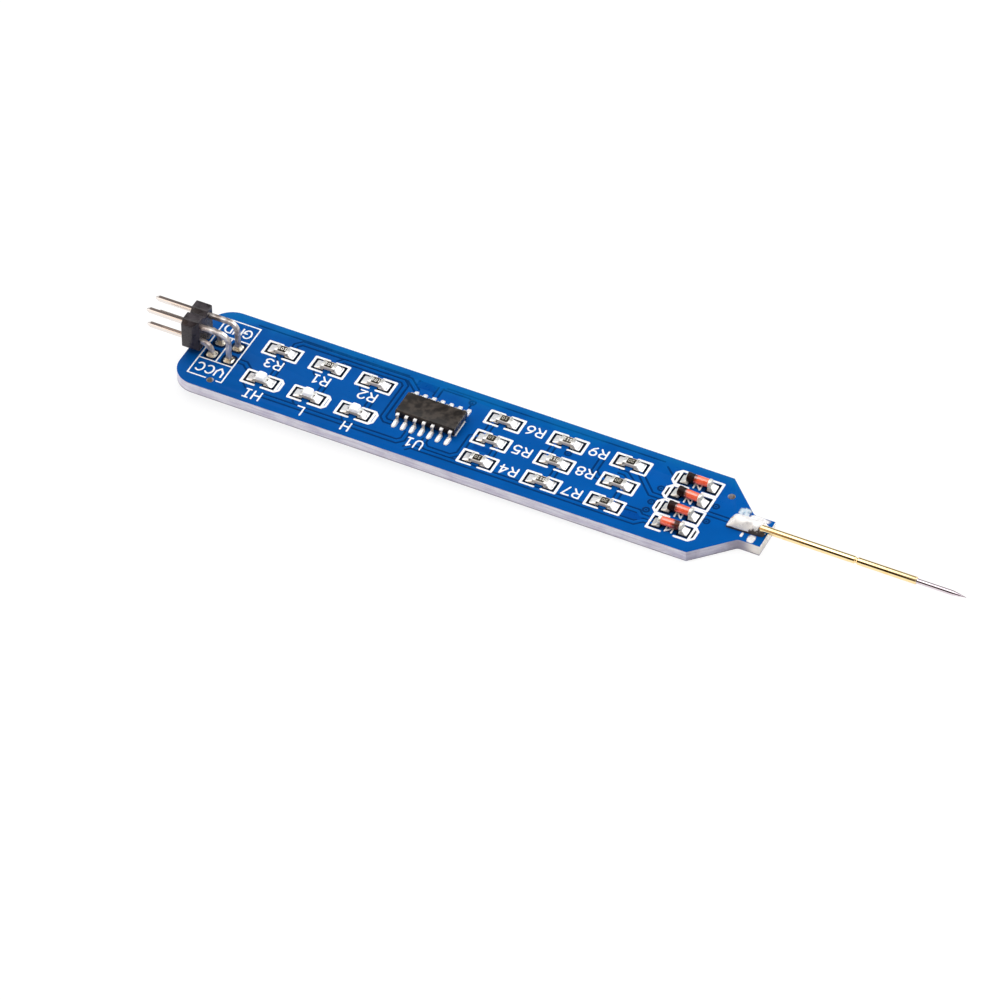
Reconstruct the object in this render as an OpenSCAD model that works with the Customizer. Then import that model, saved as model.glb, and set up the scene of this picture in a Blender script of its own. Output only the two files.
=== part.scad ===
// Pocket logic probe: a bare circuit board with a right-angle power header at the rear
// and a spring-loaded test needle soldered to the tab at its nose.
// Millimetres. Places on the board are measured from its rear edge (x), its centreline
// (y) and its upper face (z). The part's frame has x along the needle, z up, and its
// origin below the middle of the overall length, at the tips of the header's legs.

/* [Circuit board] */
// Overall length, nose tab included
board_l = 83; // [76:0.5:95]
// Width
board_w = 15; // [14.5:0.5:20]
// Thickness of the laminate
board_t = 1.6; // [1:0.1:2.4]
// Radius of the two rear corners
corner_r = 3.4; // [1:0.1:5]
// Length of the taper between the full width and the tab
taper_l = 5; // [3:0.1:6]
// Length of the nose tab
tab_l = 3; // [2.5:0.1:4]
// Width of the nose tab
tab_w = 5; // [4:0.1:7]
// Radius where the taper runs into the tab
neck_r = 0.8; // [0.3:0.1:1.2]
// Diameter of the two tooling holes
tool_d = 1; // [0.6:0.1:1.4]
// Rear tooling hole, from the rear edge
tool_rear_x = 5.4; // [4.5:0.1:7]
// Rear tooling hole, from the nearest long edge
tool_rear_edge = 1.75; // [1.2:0.05:2]
// Front tooling hole, from the front of the tab
tool_front_x = 7; // [6.5:0.1:7.6]
// Front tooling hole, from the nearest long edge
tool_front_edge = 3.2; // [3:0.1:3.6]

/* [Pin header] */
// Pitch of the pins, across and upwards
pitch = 2.54; // [2.3:0.02:2.9]
// Side of a square pin
pin_w = 0.64; // [0.5:0.02:0.76]
// Free length of the pins outside the housing
pin_reach = 5.75; // [3:0.25:9]
// Length of the taper at a pin's tip
pin_tip_l = 0.5; // [0.2:0.1:1]
// Width left at a pin's tip
pin_tip_w = 0.3; // [0.1:0.02:0.4]
// Radius of a bend, at the middle of the pin
bend_r = 1.35; // [0.9:0.05:1.4]
// Length of a pin's leg below the board
foot_l = 1.3; // [0.8:0.1:2.5]
// First row of holes, from the board's rear edge
header_x = 3.32; // [3:0.02:4.2]
// Gap between the housing and the first row of holes
header_gap = 1.47; // [1.43:0.02:2]
// Height of the lower pins above the board
header_z = 1.7; // [1.5:0.05:2.5]
// Thickness of the housing along the pins
housing_t = 2.35; // [1.5:0.02:4]
// Chamfer on the housing's corners
housing_cut = 0.62; // [0.2:0.02:0.9]
// Chamfer on the housing's upright front corners, along the pins
housing_front = 0.72; // [0.2:0.02:1]
// Room between a pin's corners and its hole
hole_gap = 0.05; // [0.02:0.01:0.15]
// Radius of the solder ring round a pin
ring_r = 0.86; // [0.75:0.01:1]
// Height of the solder above the board
ring_h = 0.4; // [0.2:0.05:0.6]
// Length of pin that shows below the solder under the board
foot_bare = 0.25; // [0.1:0.05:0.5]

/* [Surface-mount parts] */
// Thickness of a tinned pad
pad_t = 0.05; // [0.03:0.01:0.1]
// Width of a pad
pad_w = 1.66; // [1.3:0.02:1.9]
// Length of a pad beyond the end of its part
pad_toe = 1.02; // [0.5:0.02:1.2]
// Height of the solder against a terminal
solder_h = 0.38; // [0.2:0.02:0.45]
// Run of the solder along its pad
solder_l = 0.7; // [0.3:0.02:0.9]
// Length of a resistor or lamp
chip_part_l = 2; // [1.8:0.05:2.3]
// Width of a resistor or lamp
chip_part_w = 1.25; // [1:0.05:1.6]
// Length of a resistor's or lamp's terminal
terminal_l = 0.4; // [0.2:0.02:0.5]
// Thickness of the terminal's metal
terminal_t = 0.04; // [0.02:0.01:0.08]
// Height of a resistor
resistor_h = 0.55; // [0.46:0.02:0.8]
// Bare margin beside a resistor's printed cover
cover_margin = 0.1; // [0.05:0.01:0.2]
// Height of a lamp's base
lamp_base_h = 0.46; // [0.46:0.02:0.6]
// Height of a lamp, lens included
lamp_h = 1.1; // [0.9:0.05:1.4]
// Radius on the lens's upper edges
lens_r = 0.3; // [0.1:0.05:0.35]
// Lean of the lens's ends
lens_lean = 0.06; // [0:0.01:0.15]
// Radius of the half-round notch in a lamp's ends
notch_r = 0.2; // [0.1:0.01:0.3]
// First lamp, from the board's rear edge
lamp_x = 11.5; // [10:0.1:12]
// Pitch of the three lamps and of the resistors beside them
lamp_pitch = 6.9; // [6:0.05:7.2]
// Lamps, from the centreline
lamp_y = 2.92; // [2.2:0.02:4]
// Resistors beside the lamps, from the centreline
lamp_resistor_y = 3.16; // [2.2:0.02:4]
// First column of resistors, from the front of the chip
column_rear_gap = 4.56; // [3:0.02:6]
// Last column of resistors, from the diodes' pads
column_front_gap = 6.81; // [3:0.02:8]
// Pitch of the resistors in a column
row_pitch = 4.04; // [3:0.02:5]

/* [Chip] */
// Number of leads
chip_leads_n = 14; // [8:2:14]
// Pitch of the leads
chip_pitch = 1.27; // [1:0.01:1.3]
// Body beyond the last lead
chip_end = 0.52; // [0.4:0.02:0.8]
// Width of the body
chip_w = 3.9; // [3.5:0.05:4.4]
// Height of the body
chip_h = 1.25; // [1.2:0.05:1.75]
// Room below the body
chip_gap = 0.15; // [0.05:0.01:0.25]
// Lean of the body's sides
chip_draft = 0.09; // [0.05:0.01:0.2]
// Width of a lead
lead_w = 0.48; // [0.3:0.01:0.5]
// Thickness of a lead
lead_t = 0.2; // [0.15:0.01:0.25]
// Height of the leads where they leave the body
lead_z = 1; // [0.85:0.01:1.1]
// Reach of a lead from the body's side
lead_reach = 1.05; // [0.95:0.05:1.3]
// Length of a lead's foot
foot_len = 0.45; // [0.3:0.02:0.5]
// Pad beyond a lead's foot
lead_toe = 0.75; // [0.3:0.05:1]
// Pad behind a lead's foot
lead_heel = 0.35; // [0.1:0.05:0.5]
// Width of a lead's pad
lead_pad_w = 0.6; // [0.5:0.02:0.7]
// Chip, from the board's rear edge
chip_x = 34.76; // [34.5:0.02:35]
// Chip, from the centreline
chip_y = 0.4; // [-0.5:0.05:1]

/* [Diodes] */
// Length of a diode
diode_l = 3.5; // [3:0.05:3.8]
// Diameter of its end caps
diode_d = 1.46; // [1.2:0.02:1.6]
// Diameter of its glass
diode_glass_d = 1.36; // [1:0.02:1.44]
// Length of an end cap
diode_cap_l = 0.56; // [0.3:0.02:0.6]
// Rounding of an end cap's rim
diode_rim = 0.12; // [0.04:0.02:0.2]
// Pad beyond the end of a diode
diode_toe = 0.9; // [0.4:0.05:1]
// Height of the solder that cradles a cap
cradle_h = 0.36; // [0.2:0.02:0.5]
// Diodes, from the front of the tab
diode_x = 11.69; // [11.5:0.01:12]
// Middle of the row of diodes, from the centreline
diode_y = 0.18; // [-0.4:0.02:0.4]
// Pitch of the diodes
diode_pitch = 2.92; // [2.5:0.02:3.1]

/* [Needle] */
// Length of the needle, barrel and plunger together
needle_l = 32.6; // [31:0.1:40]
// Length of the barrel
barrel_l = 25.8; // [24:0.05:28]
// Diameter of the barrel
barrel_d = 1.02; // [0.94:0.01:1.1]
// Bore of the barrel
bore_d = 0.8; // [0.76:0.01:0.84]
// Thickness of the barrel's closed end
barrel_end_t = 0.4; // [0.2:0.05:0.8]
// Crimped ring, from the mouth of the barrel
crimp_x = 8.35; // [8.2:0.05:9]
// Width of the crimped ring
crimp_w = 0.45; // [0.3:0.05:0.6]
// Depth of the crimp
crimp_d = 0.14; // [0.1:0.01:0.16]
// Travel of the plunger
travel = 6.3; // [4:0.1:6.4]
// Radial play of the plunger in its bore and at the crimp
play = 0.02; // [0.01:0.005:0.04]
// Diameter of the plunger outside the barrel
plunger_d = 0.7; // [0.6:0.01:0.74]
// Length of the plunger's point
point_l = 1.9; // [1:0.1:3]
// Diameter left at the point
point_d = 0.06; // [0.02:0.01:0.12]
// Length of the plunger's tail, behind the crimp
tail_l = 1; // [0.6:0.1:1.6]
// Gap between the tail and the crimp at rest, and ahead of the crimp when pressed in
stop_gap = 0.04; // [0.02:0.01:0.08]
// Height of the needle above the board
needle_z = 0.72; // [0.64:0.01:0.9]
// Rear end of the needle, from the front of the tab
needle_inset = 5.05; // [4.5:0.05:5.2]
// Diameter of the spring's wire
wire_d = 0.11; // [0.08:0.01:0.14]
// Turns of the spring
spring_turns = 24; // [18:1:30]
// Room round the spring in the bore
spring_gap = 0.04; // [0.02:0.01:0.06]

/* [Needle solder] */
// Length of the solder's pad
joint_l = 5.35; // [5.3:0.05:5.8]
// Width of the solder's pad
joint_w = 2.4; // [2:0.1:3.2]
// Thickness of the solder over the needle
joint_skin = 0.2; // [0.1:0.02:0.3]
// Bare tab ahead of the solder
joint_front = 0.85; // [0.5:0.05:1.2]
// Length of the solder's slope at the rear
joint_rise = 1.5; // [0.8:0.1:2]
// Length of the solder's slope at the front
joint_fall = 1.3; // [0.8:0.1:2]

/* [Hidden] */
$fn = 48;
eps = 0.01;
resistor_names = ["r3", "r1", "r2", "r6", "r5", "r4", "r9", "r8", "r7", "r12", "r11", "r10"];
lamp_names = ["hi", "low", "high"];
pin_names = ["supply_lower", "supply_upper", "ground_lower", "ground_upper"];
// Hand-set angle of each glass diode on its pads, from the far side to the near side
diode_skew = [1, -4, -1.5, 0.5];
diode_n = len(diode_skew);

// Header
housing_x1 = header_x - header_gap;
housing_x0 = housing_x1 - housing_t;
pin_tip_x = housing_x0 - pin_reach;
hole_d = pin_w * sqrt(2) + 2 * hole_gap;

// Chip
chip_l = (chip_leads_n / 2 - 1) * chip_pitch + 2 * chip_end;
lead_xs = [for (i = [0 : chip_leads_n / 2 - 1]) (i - (chip_leads_n / 2 - 1) / 2) * chip_pitch];
lead_out = chip_w / 2 + lead_reach;
lead_bend_r = lead_t;

// Diodes
diode_ys = [for (i = [0 : diode_n - 1]) diode_y + ((diode_n - 1) / 2 - i) * diode_pitch];
diode_places = [for (y = diode_ys) [board_l - diode_x, y]];

// Resistors and lamps: the columns of resistors are spread between the chip and the
// diodes, and each column starts on the far side
grid_n = 3;
column_x = chip_x + chip_l / 2 + column_rear_gap;
column_end_x = board_l - diode_x - diode_l / 2 - diode_toe - column_front_gap;
column_pitch = (column_end_x - column_x) / (grid_n - 1);
lamp_xs = [for (i = [0 : grid_n - 1]) lamp_x + i * lamp_pitch];
resistor_places = concat(
    [for (x = lamp_xs) [x, lamp_resistor_y]],
    [for (c = [0 : grid_n - 1]) for (r = [1 : -1 : -1]) [column_x + c * column_pitch, r * row_pitch]]
);
lamp_places = [for (x = lamp_xs) [x, -lamp_y]];
lens_l = chip_part_l - 2 * terminal_l;

// Needle: x counts from the rear end of the barrel
needle_x = board_l - needle_inset;
barrel_r = barrel_d / 2;
bore_r = bore_d / 2;
guide_r = bore_r - play;
crimp_r = bore_r - crimp_d;
waist_r = crimp_r - play;
crimp_x0 = barrel_l - crimp_x - crimp_w / 2;
crimp_x1 = crimp_x0 + crimp_w;
tail_x1 = crimp_x0 - stop_gap;
tail_x0 = tail_x1 - tail_l;
guide_x0 = crimp_x1 + travel + stop_gap;
guide_x1 = barrel_l + stop_gap;
spring_mid_r = bore_r - spring_gap - wire_d / 2;

// The part's frame
mid_x = (pin_tip_x + needle_x + needle_l) / 2;
lift = board_t + foot_l;

// Moves board places into the part's frame
module on_board() {
    translate([-mid_x, 0, lift])
        children();
}

// Places a small part on the upper face, on top of its pads
module on_pads(place, skew = 0) {
    on_board()
        translate([place[0], place[1], pad_t])
            rotate([0, 0, skew])
                children();
}

// Turns a profile drawn in x and z into a bar of width w across y
module bar(w) {
    rotate([90, 0, 0])
        linear_extrude(w, center = true)
            children();
}

// Turns a profile drawn in y and z into a bar of length l along x
module rail(l) {
    rotate([90, 0, 90])
        linear_extrude(l, center = true)
            children();
}

// Revolves a profile of [x, radius] points about the x axis
module turned(points) {
    rotate([0, 90, 0])
        rotate_extrude()
            polygon([for (p = points) [p[1], p[0]]]);
}

// Square of given corners
module block_2d(x0, y0, x1, y1) {
    translate([x0, y0])
        square([x1 - x0, y1 - y0]);
}

// Quarter of a flat ring about the origin, between the directions +x and +y
module quarter_ring(r, w) {
    intersection() {
        difference() {
            circle(r + w / 2);
            circle(r - w / 2);
        }
        square(r + w);
    }
}

// Outline of the board: round rear corners, straight sides, taper and nose tab
module board_outline() {
    taper_x = board_l - tab_l - taper_l;
    for (s = [-1, 1])
        translate([corner_r, s * (board_w / 2 - corner_r)])
            circle(corner_r);
    block_2d(0, -board_w / 2 + corner_r, corner_r, board_w / 2 - corner_r);
    block_2d(corner_r, -board_w / 2, taper_x, board_w / 2);
    polygon([
        [taper_x, -board_w / 2], [board_l - tab_l, -tab_w / 2],
        [board_l - tab_l, tab_w / 2], [taper_x, board_w / 2]
    ]);
    block_2d(board_l - tab_l, -tab_w / 2, board_l, tab_w / 2);
    for (side = [0, 1])
        mirror([0, side])
            neck_fillet();
}

// Web in the hollow corner between the taper and the tab, on the +y side
module neck_fillet() {
    lean = atan2((board_w - tab_w) / 2, taper_l);
    run = neck_r * tan(lean / 2);
    translate([board_l - tab_l, tab_w / 2])
        difference() {
            polygon([
                [-run * cos(lean), -neck_r], [run, -neck_r], [run, 0],
                [-run * cos(lean), run * sin(lean)]
            ]);
            translate([run, neck_r])
                circle(neck_r);
        }
}

// Centres of the header's holes, in the order of pin_names
function pin_place(i) = [header_x + (i % 2) * pitch, (i < 2 ? -1 : 1) * pitch / 2];

module circuit_board() {
    color("#0b5cad")
        on_board()
            difference() {
                translate([0, 0, -board_t])
                    linear_extrude(board_t)
                        board_outline();
                for (i = [0 : 3])
                    translate(concat(pin_place(i), -board_t - eps))
                        cylinder(h = board_t + 2 * eps, d = hole_d);
                translate([tool_rear_x, -board_w / 2 + tool_rear_edge, -board_t - eps])
                    cylinder(h = board_t + 2 * eps, d = tool_d);
                translate([board_l - tool_front_x, board_w / 2 - tool_front_edge, -board_t - eps])
                    cylinder(h = board_t + 2 * eps, d = tool_d);
            }
}

// One housing unit, drawn in y and z: two pins high, with cut corners
module housing_unit() {
    polygon([
        [-pitch / 2 + housing_cut, -pitch], [pitch / 2 - housing_cut, -pitch],
        [pitch / 2, -pitch + housing_cut], [pitch / 2, pitch - housing_cut],
        [pitch / 2 - housing_cut, pitch], [-pitch / 2 + housing_cut, pitch],
        [-pitch / 2, pitch - housing_cut], [-pitch / 2, -pitch + housing_cut]
    ]);
}

// The housing from above, larger all round except at its cut front corners
module housing_plan() {
    run = housing_front / housing_cut;
    polygon([
        [housing_x0 - 1, -pitch - 1], [housing_x1 - housing_front - run, -pitch - 1],
        [housing_x1 + housing_front, -pitch + 2 * housing_cut],
        [housing_x1 + housing_front, pitch - 2 * housing_cut],
        [housing_x1 - housing_front - run, pitch + 1], [housing_x0 - 1, pitch + 1]
    ]);
}

module header_housing() {
    color("#26211f")
        on_board()
            intersection() {
                translate([(housing_x0 + housing_x1) / 2, 0, header_z + pitch / 2])
                    rail(housing_t)
                        difference() {
                            union() {
                                for (s = [-1, 1])
                                    translate([s * pitch / 2, 0])
                                        housing_unit();
                            }
                            for (s = [-1, 1])
                                for (t = [-1, 1])
                                    translate([s * pitch / 2, t * pitch / 2])
                                        square(pin_w, center = true);
                        }
                translate([0, 0, header_z - 2 * pitch])
                    linear_extrude(5 * pitch)
                        housing_plan();
            }
}

// Side view of a pin: tip, straight run, bend and leg
module pin_profile(row_x, z) {
    foot_z = -board_t - foot_l;
    polygon([
        [pin_tip_x, z - pin_tip_w / 2], [pin_tip_x + pin_tip_l, z - pin_w / 2],
        [pin_tip_x + pin_tip_l, z + pin_w / 2], [pin_tip_x, z + pin_tip_w / 2]
    ]);
    block_2d(pin_tip_x + pin_tip_l, z - pin_w / 2, row_x - bend_r, z + pin_w / 2);
    translate([row_x - bend_r, z - bend_r])
        quarter_ring(bend_r, pin_w);
    block_2d(row_x - pin_w / 2, foot_z + pin_tip_l / 2, row_x + pin_w / 2, z - bend_r);
    polygon([
        [row_x - pin_w / 2, foot_z + pin_tip_l / 2], [row_x - pin_tip_w / 2, foot_z],
        [row_x + pin_tip_w / 2, foot_z], [row_x + pin_w / 2, foot_z + pin_tip_l / 2]
    ]);
}

// Top view of a pin, with its tapered tip
module pin_plan(row_x) {
    polygon([
        [pin_tip_x, -pin_tip_w / 2], [pin_tip_x + pin_tip_l, -pin_w / 2],
        [row_x + pin_w, -pin_w / 2], [row_x + pin_w, pin_w / 2],
        [pin_tip_x + pin_tip_l, pin_w / 2], [pin_tip_x, pin_tip_w / 2]
    ]);
}

module header_pin(i) {
    place = pin_place(i);
    z = header_z + (i % 2) * pitch;
    color("#b9b2a6")
        on_board()
            translate([0, place[1], 0])
                intersection() {
                    bar(pin_w)
                        pin_profile(place[0], z);
                    translate([0, 0, -lift])
                        linear_extrude(lift + z + pitch)
                            pin_plan(place[0]);
                }
}

// Solder that climbs a square pin from a flat face: [radius, height] points of a hollow flank
function flank(r0, r1, h, n = 5) =
    [for (k = [0 : n]) [r1 + (r0 - r1) * (1 - sin(90 * k / n)), h * (1 - cos(90 * k / n))]];

module pin_solder(h) {
    top_r = pin_w * 0.75;
    difference() {
        rotate_extrude()
            polygon(concat([[0, 0]], flank(ring_r, top_r, h), [[0, h]]));
        translate([0, 0, h / 2])
            cube([pin_w, pin_w, h + 2 * eps], center = true);
    }
}

module header_solder() {
    color("#c9b27a")
        on_board()
            for (i = [0 : 3])
                translate(concat(pin_place(i), 0)) {
                    pin_solder(ring_h);
                    translate([0, 0, -board_t])
                        mirror([0, 0, 1])
                            pin_solder(foot_l - pin_tip_l / 2 - foot_bare);
                }
}

// End or side view of the chip: leaning flanks above and below an upright band at the leads
module chip_section(w) {
    z0 = lead_z - lead_t / 2;
    z1 = lead_z + lead_t / 2;
    top = chip_gap + chip_h;
    polygon([
        [-w / 2 + chip_draft, chip_gap], [w / 2 - chip_draft, chip_gap],
        [w / 2, z0], [w / 2, z1], [w / 2 - chip_draft, top],
        [-w / 2 + chip_draft, top], [-w / 2, z1], [-w / 2, z0]
    ]);
}

module chip_body() {
    color("#3a3432")
        on_pads([chip_x, chip_y])
            intersection() {
                bar(2 * chip_w)
                    chip_section(chip_l);
                rail(2 * chip_l)
                    chip_section(chip_w);
            }
}

// Gull-wing lead, drawn in y and z on the +y side: shoulder, two bends and a flat foot
module lead_profile() {
    r = lead_bend_r;
    leg_y = lead_out - foot_len - r;
    foot_z = lead_t / 2;
    block_2d(chip_w / 2, lead_z - lead_t / 2, leg_y - r, lead_z + lead_t / 2);
    translate([leg_y - r, lead_z - r])
        quarter_ring(r, lead_t);
    block_2d(leg_y - lead_t / 2, foot_z + r, leg_y + lead_t / 2, lead_z - r);
    translate([leg_y + r, foot_z + r])
        rotate(180)
            quarter_ring(r, lead_t);
    block_2d(leg_y + r, 0, lead_out, lead_t);
}

module chip_leads() {
    color("#d7d5d0")
        on_pads([chip_x, chip_y])
            for (x = lead_xs)
                for (turn = [0, 180])
                    rotate([0, 0, turn])
                        translate([x, 0, 0])
                            rail(lead_w)
                                lead_profile();
}

// Solder slope against an end face: drawn from the face at 0, along +x
module solder_slope(l, h, w) {
    bar(w)
        polygon(concat([[0, 0]], [for (p = flank(l, 0, h)) p]));
}

// Pad and solder for one end of a two-ended part; `end` is where the part stops
module end_joint(end, inner, toe) {
    translate([inner, -pad_w / 2, -pad_t])
        cube([end + toe - inner, pad_w, pad_t]);
    translate([end, 0, 0])
        solder_slope(min(solder_l, toe), solder_h, chip_part_w);
}

// Pad and cradle of solder for one end of a diode lying along x
module cap_joint() {
    inner = diode_l / 2 - diode_cap_l;
    translate([inner, -pad_w / 2, -pad_t])
        cube([diode_cap_l + diode_toe, pad_w, pad_t]);
    difference() {
        translate([inner, 0, 0])
            bar(pad_w - 2 * cover_margin)
                polygon(concat(
                    [[0, 0]],
                    flank(diode_cap_l + solder_l, diode_cap_l, cradle_h),
                    [[0, cradle_h]]
                ));
        translate([0, 0, diode_d / 2])
            rotate([0, 90, 0])
                cylinder(h = diode_l / 2, d = diode_d);
    }
}

// Pad and solder of one chip lead on the +y side
module lead_joint() {
    translate([-lead_pad_w / 2, lead_out - foot_len - lead_heel, -pad_t])
        cube([lead_pad_w, foot_len + lead_heel + lead_toe, pad_t]);
    translate([0, lead_out, 0])
        rotate([0, 0, 90])
            solder_slope(lead_toe * 0.8, lead_t, lead_w);
}

module surface_solder() {
    color("#dcdcd8") {
        for (place = concat(resistor_places, lamp_places))
            for (turn = [0, 180])
                on_pads(place)
                    rotate([0, 0, turn])
                        end_joint(chip_part_l / 2, chip_part_l / 2 - terminal_l, pad_toe);
        for (i = [0 : diode_n - 1])
            for (turn = [0, 180])
                on_pads(diode_places[i], diode_skew[i] + turn)
                    cap_joint();
        for (x = lead_xs)
            for (turn = [0, 180])
                on_pads([chip_x, chip_y], turn)
                    translate([x, 0, 0])
                        lead_joint();
    }
}

// A resistor's ceramic and its printed cover, between the terminals
module resistor(i) {
    on_pads(resistor_places[i]) {
        color("#cbc5ba")
            translate([0, 0, resistor_h / 2])
                cube(
                    [chip_part_l - 2 * terminal_t, chip_part_w, resistor_h - 2 * terminal_t],
                    center = true
                );
        color("#2b2926")
            translate([0, 0, resistor_h - terminal_t / 2])
                cube(
                    [chip_part_l - 2 * terminal_l, chip_part_w - 2 * cover_margin, terminal_t],
                    center = true
                );
    }
}

// Two metal ends that wrap a block of height h
module end_terminals(h) {
    for (turn = [0, 180])
        rotate([0, 0, turn])
            bar(chip_part_w)
                difference() {
                    block_2d(chip_part_l / 2 - terminal_l, 0, chip_part_l / 2, h);
                    block_2d(0, terminal_t, chip_part_l / 2 - terminal_t, h - terminal_t);
                }
}

module resistor_terminals(i) {
    color("#d9d7d2")
        on_pads(resistor_places[i])
            end_terminals(resistor_h);
}

// Half-round notches in the two ends of a lamp
module end_notches() {
    for (s = [-1, 1])
        translate([s * chip_part_l / 2, 0, -eps])
            cylinder(h = lamp_h, r = notch_r);
}

module lamp_base(i) {
    color("#efece2")
        on_pads(lamp_places[i])
            difference() {
                translate([0, 0, lamp_base_h / 2])
                    cube(
                        [chip_part_l - 2 * terminal_t, chip_part_w, lamp_base_h - 2 * terminal_t],
                        center = true
                    );
                end_notches();
            }
}

module lamp_terminals(i) {
    color("#d9d2bd")
        on_pads(lamp_places[i])
            difference() {
                end_terminals(lamp_base_h);
                end_notches();
            }
}

// Milky lens: a block with leaning ends and round upper edges
module lamp_lens(i) {
    z0 = lamp_base_h - terminal_t;
    half = lens_l / 2;
    steps = 6;
    arc = [for (k = [0 : steps]) [
        half - lens_lean - lens_r + lens_r * cos(90 * k / steps),
        lamp_h - lens_r + lens_r * sin(90 * k / steps)
    ]];
    color("#fbfaf3")
        on_pads(lamp_places[i])
            bar(chip_part_w)
                polygon(concat(
                    [[half, z0]],
                    arc,
                    [for (k = [steps : -1 : 0]) [-arc[k][0], arc[k][1]]],
                    [[-half, z0]]
                ));
}

module diode_glass(i) {
    color("#e2572b")
        on_pads(diode_places[i], diode_skew[i])
            translate([0, 0, diode_d / 2])
                rotate([0, 90, 0])
                    cylinder(h = diode_l - 2 * diode_cap_l, d = diode_glass_d, center = true);
}

// Two metal cups on the ends of a diode, with rounded rims
module diode_caps(i) {
    end = diode_l / 2;
    r = diode_d / 2;
    steps = 4;
    rim = [for (k = [0 : steps]) [
        end - diode_rim + diode_rim * sin(90 * k / steps),
        r - diode_rim + diode_rim * cos(90 * k / steps)
    ]];
    color("#d9d4c6")
        on_pads(diode_places[i], diode_skew[i])
            for (turn = [0, 180])
                translate([0, 0, r])
                    rotate([0, 0, turn])
                        turned(concat([[end - diode_cap_l, 0], [end - diode_cap_l, r]], rim, [[end, 0]]));
}

// Places a piece of the needle on its axis, from the rear end of the barrel
module on_needle() {
    on_board()
        translate([needle_x, 0, needle_z])
            children();
}

// Hand-made joint: a skin of solder over the barrel that runs out to the edges of its pad
module needle_solder() {
    x0 = board_l - joint_l;
    x1 = board_l - joint_front;
    top = needle_z + barrel_r + joint_skin;
    skin_r = barrel_r + joint_skin;
    color("#d3d2cf")
        on_board() {
            difference() {
                intersection() {
                    translate([(x0 + x1) / 2, 0, 0])
                        rail(x1 - x0) {
                            polygon([
                                [-joint_w / 2, 0], [joint_w / 2, 0], [joint_w / 2, pad_t],
                                [skin_r * cos(30), needle_z + skin_r * sin(30)],
                                [-skin_r * cos(30), needle_z + skin_r * sin(30)], [-joint_w / 2, pad_t]
                            ]);
                            translate([0, needle_z])
                                circle(skin_r);
                        }
                    bar(2 * joint_w)
                        polygon([
                            [x0, 0], [x1, 0], [x1, needle_z], [x1 - joint_fall, top],
                            [x0 + joint_rise, top], [x0 + joint_rise / 3, needle_z], [x0, pad_t]
                        ]);
                    linear_extrude(top)
                        polygon([
                            [x0, -joint_w / 2], [x1 - joint_fall, -joint_w / 2], [x1, -skin_r],
                            [x1, skin_r], [x1 - joint_fall, joint_w / 2], [x0, joint_w / 2]
                        ]);
                }
                translate([needle_x, 0, needle_z])
                    rotate([0, 90, 0])
                        cylinder(h = needle_l, d = barrel_d);
            }
        }
}

module needle_barrel() {
    neck = barrel_r - crimp_d;
    color("#d8a63c")
        on_needle()
            turned([
                [0, 0], [0, barrel_r], [crimp_x0, barrel_r], [crimp_x0 + crimp_w / 4, neck],
                [crimp_x1 - crimp_w / 4, neck], [crimp_x1, barrel_r], [barrel_l, barrel_r],
                [barrel_l, bore_r], [crimp_x1, bore_r], [crimp_x1, crimp_r], [crimp_x0, crimp_r],
                [crimp_x0, bore_r], [barrel_end_t, bore_r], [barrel_end_t, 0]
            ]);
}

module needle_plunger() {
    color("#a6a29e")
        on_needle()
            turned([
                [tail_x0, 0], [tail_x0, guide_r], [tail_x1, guide_r], [tail_x1, waist_r],
                [guide_x0, waist_r], [guide_x0, guide_r], [guide_x1, guide_r],
                [guide_x1, plunger_d / 2], [needle_l - point_l, plunger_d / 2],
                [needle_l, point_d / 2], [needle_l, 0]
            ]);
}

// Coil spring between the barrel's closed end and the plunger's tail
module needle_spring() {
    sides = 5;
    per_turn = 12;
    rings = spring_turns * per_turn;
    x0 = barrel_end_t + wire_d / 2;
    x1 = tail_x0 - wire_d / 2;
    points = [for (k = [0 : rings]) for (j = [0 : sides - 1])
        let (
            turn = 360 * k / per_turn,
            r = spring_mid_r + wire_d / 2 * cos(360 * j / sides),
            x = x0 + (x1 - x0) * k / rings + wire_d / 2 * sin(360 * j / sides)
        )
        [x, r * cos(turn), r * sin(turn)]
    ];
    walls = [for (k = [0 : rings - 1]) for (j = [0 : sides - 1])
        let (a = k * sides + j, b = k * sides + (j + 1) % sides)
        [a, b, b + sides, a + sides]
    ];
    caps = [
        [for (j = [sides - 1 : -1 : 0]) j],
        [for (j = [0 : sides - 1]) rings * sides + j]
    ];
    color("#8f8c86")
        on_needle()
            polyhedron(points, concat(walls, caps), convexity = 10);
}

circuit_board();
header_housing();
for (i = [0 : len(pin_names) - 1]) {
    header_pin(i);
}
header_solder();
chip_body();
chip_leads();
surface_solder();
for (i = [0 : len(resistor_names) - 1]) {
    resistor(i);
    resistor_terminals(i);
}
for (i = [0 : len(lamp_names) - 1]) {
    lamp_base(i);
    lamp_lens(i);
    lamp_terminals(i);
}
for (i = [0 : diode_n - 1]) {
    diode_glass(i);
    diode_caps(i);
}
needle_solder();
needle_barrel();
needle_plunger();
needle_spring();
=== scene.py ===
"""Looks of a pocket logic probe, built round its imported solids.

The frame gives every place: the board's upper face, its rear edge and the boxes of the small
parts. Places on the board are in millimetres from its rear edge (x), its centreline (y) and its
upper face (z), and become metres in the part's frame when a mesh is made.
"""

import logging
import math
import random
from dataclasses import dataclass, field, replace
from enum import Enum
from typing import Any, Callable, Iterable, Optional, Sequence, Union

import bmesh
import bpy
from mathutils import Matrix, Vector


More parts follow.
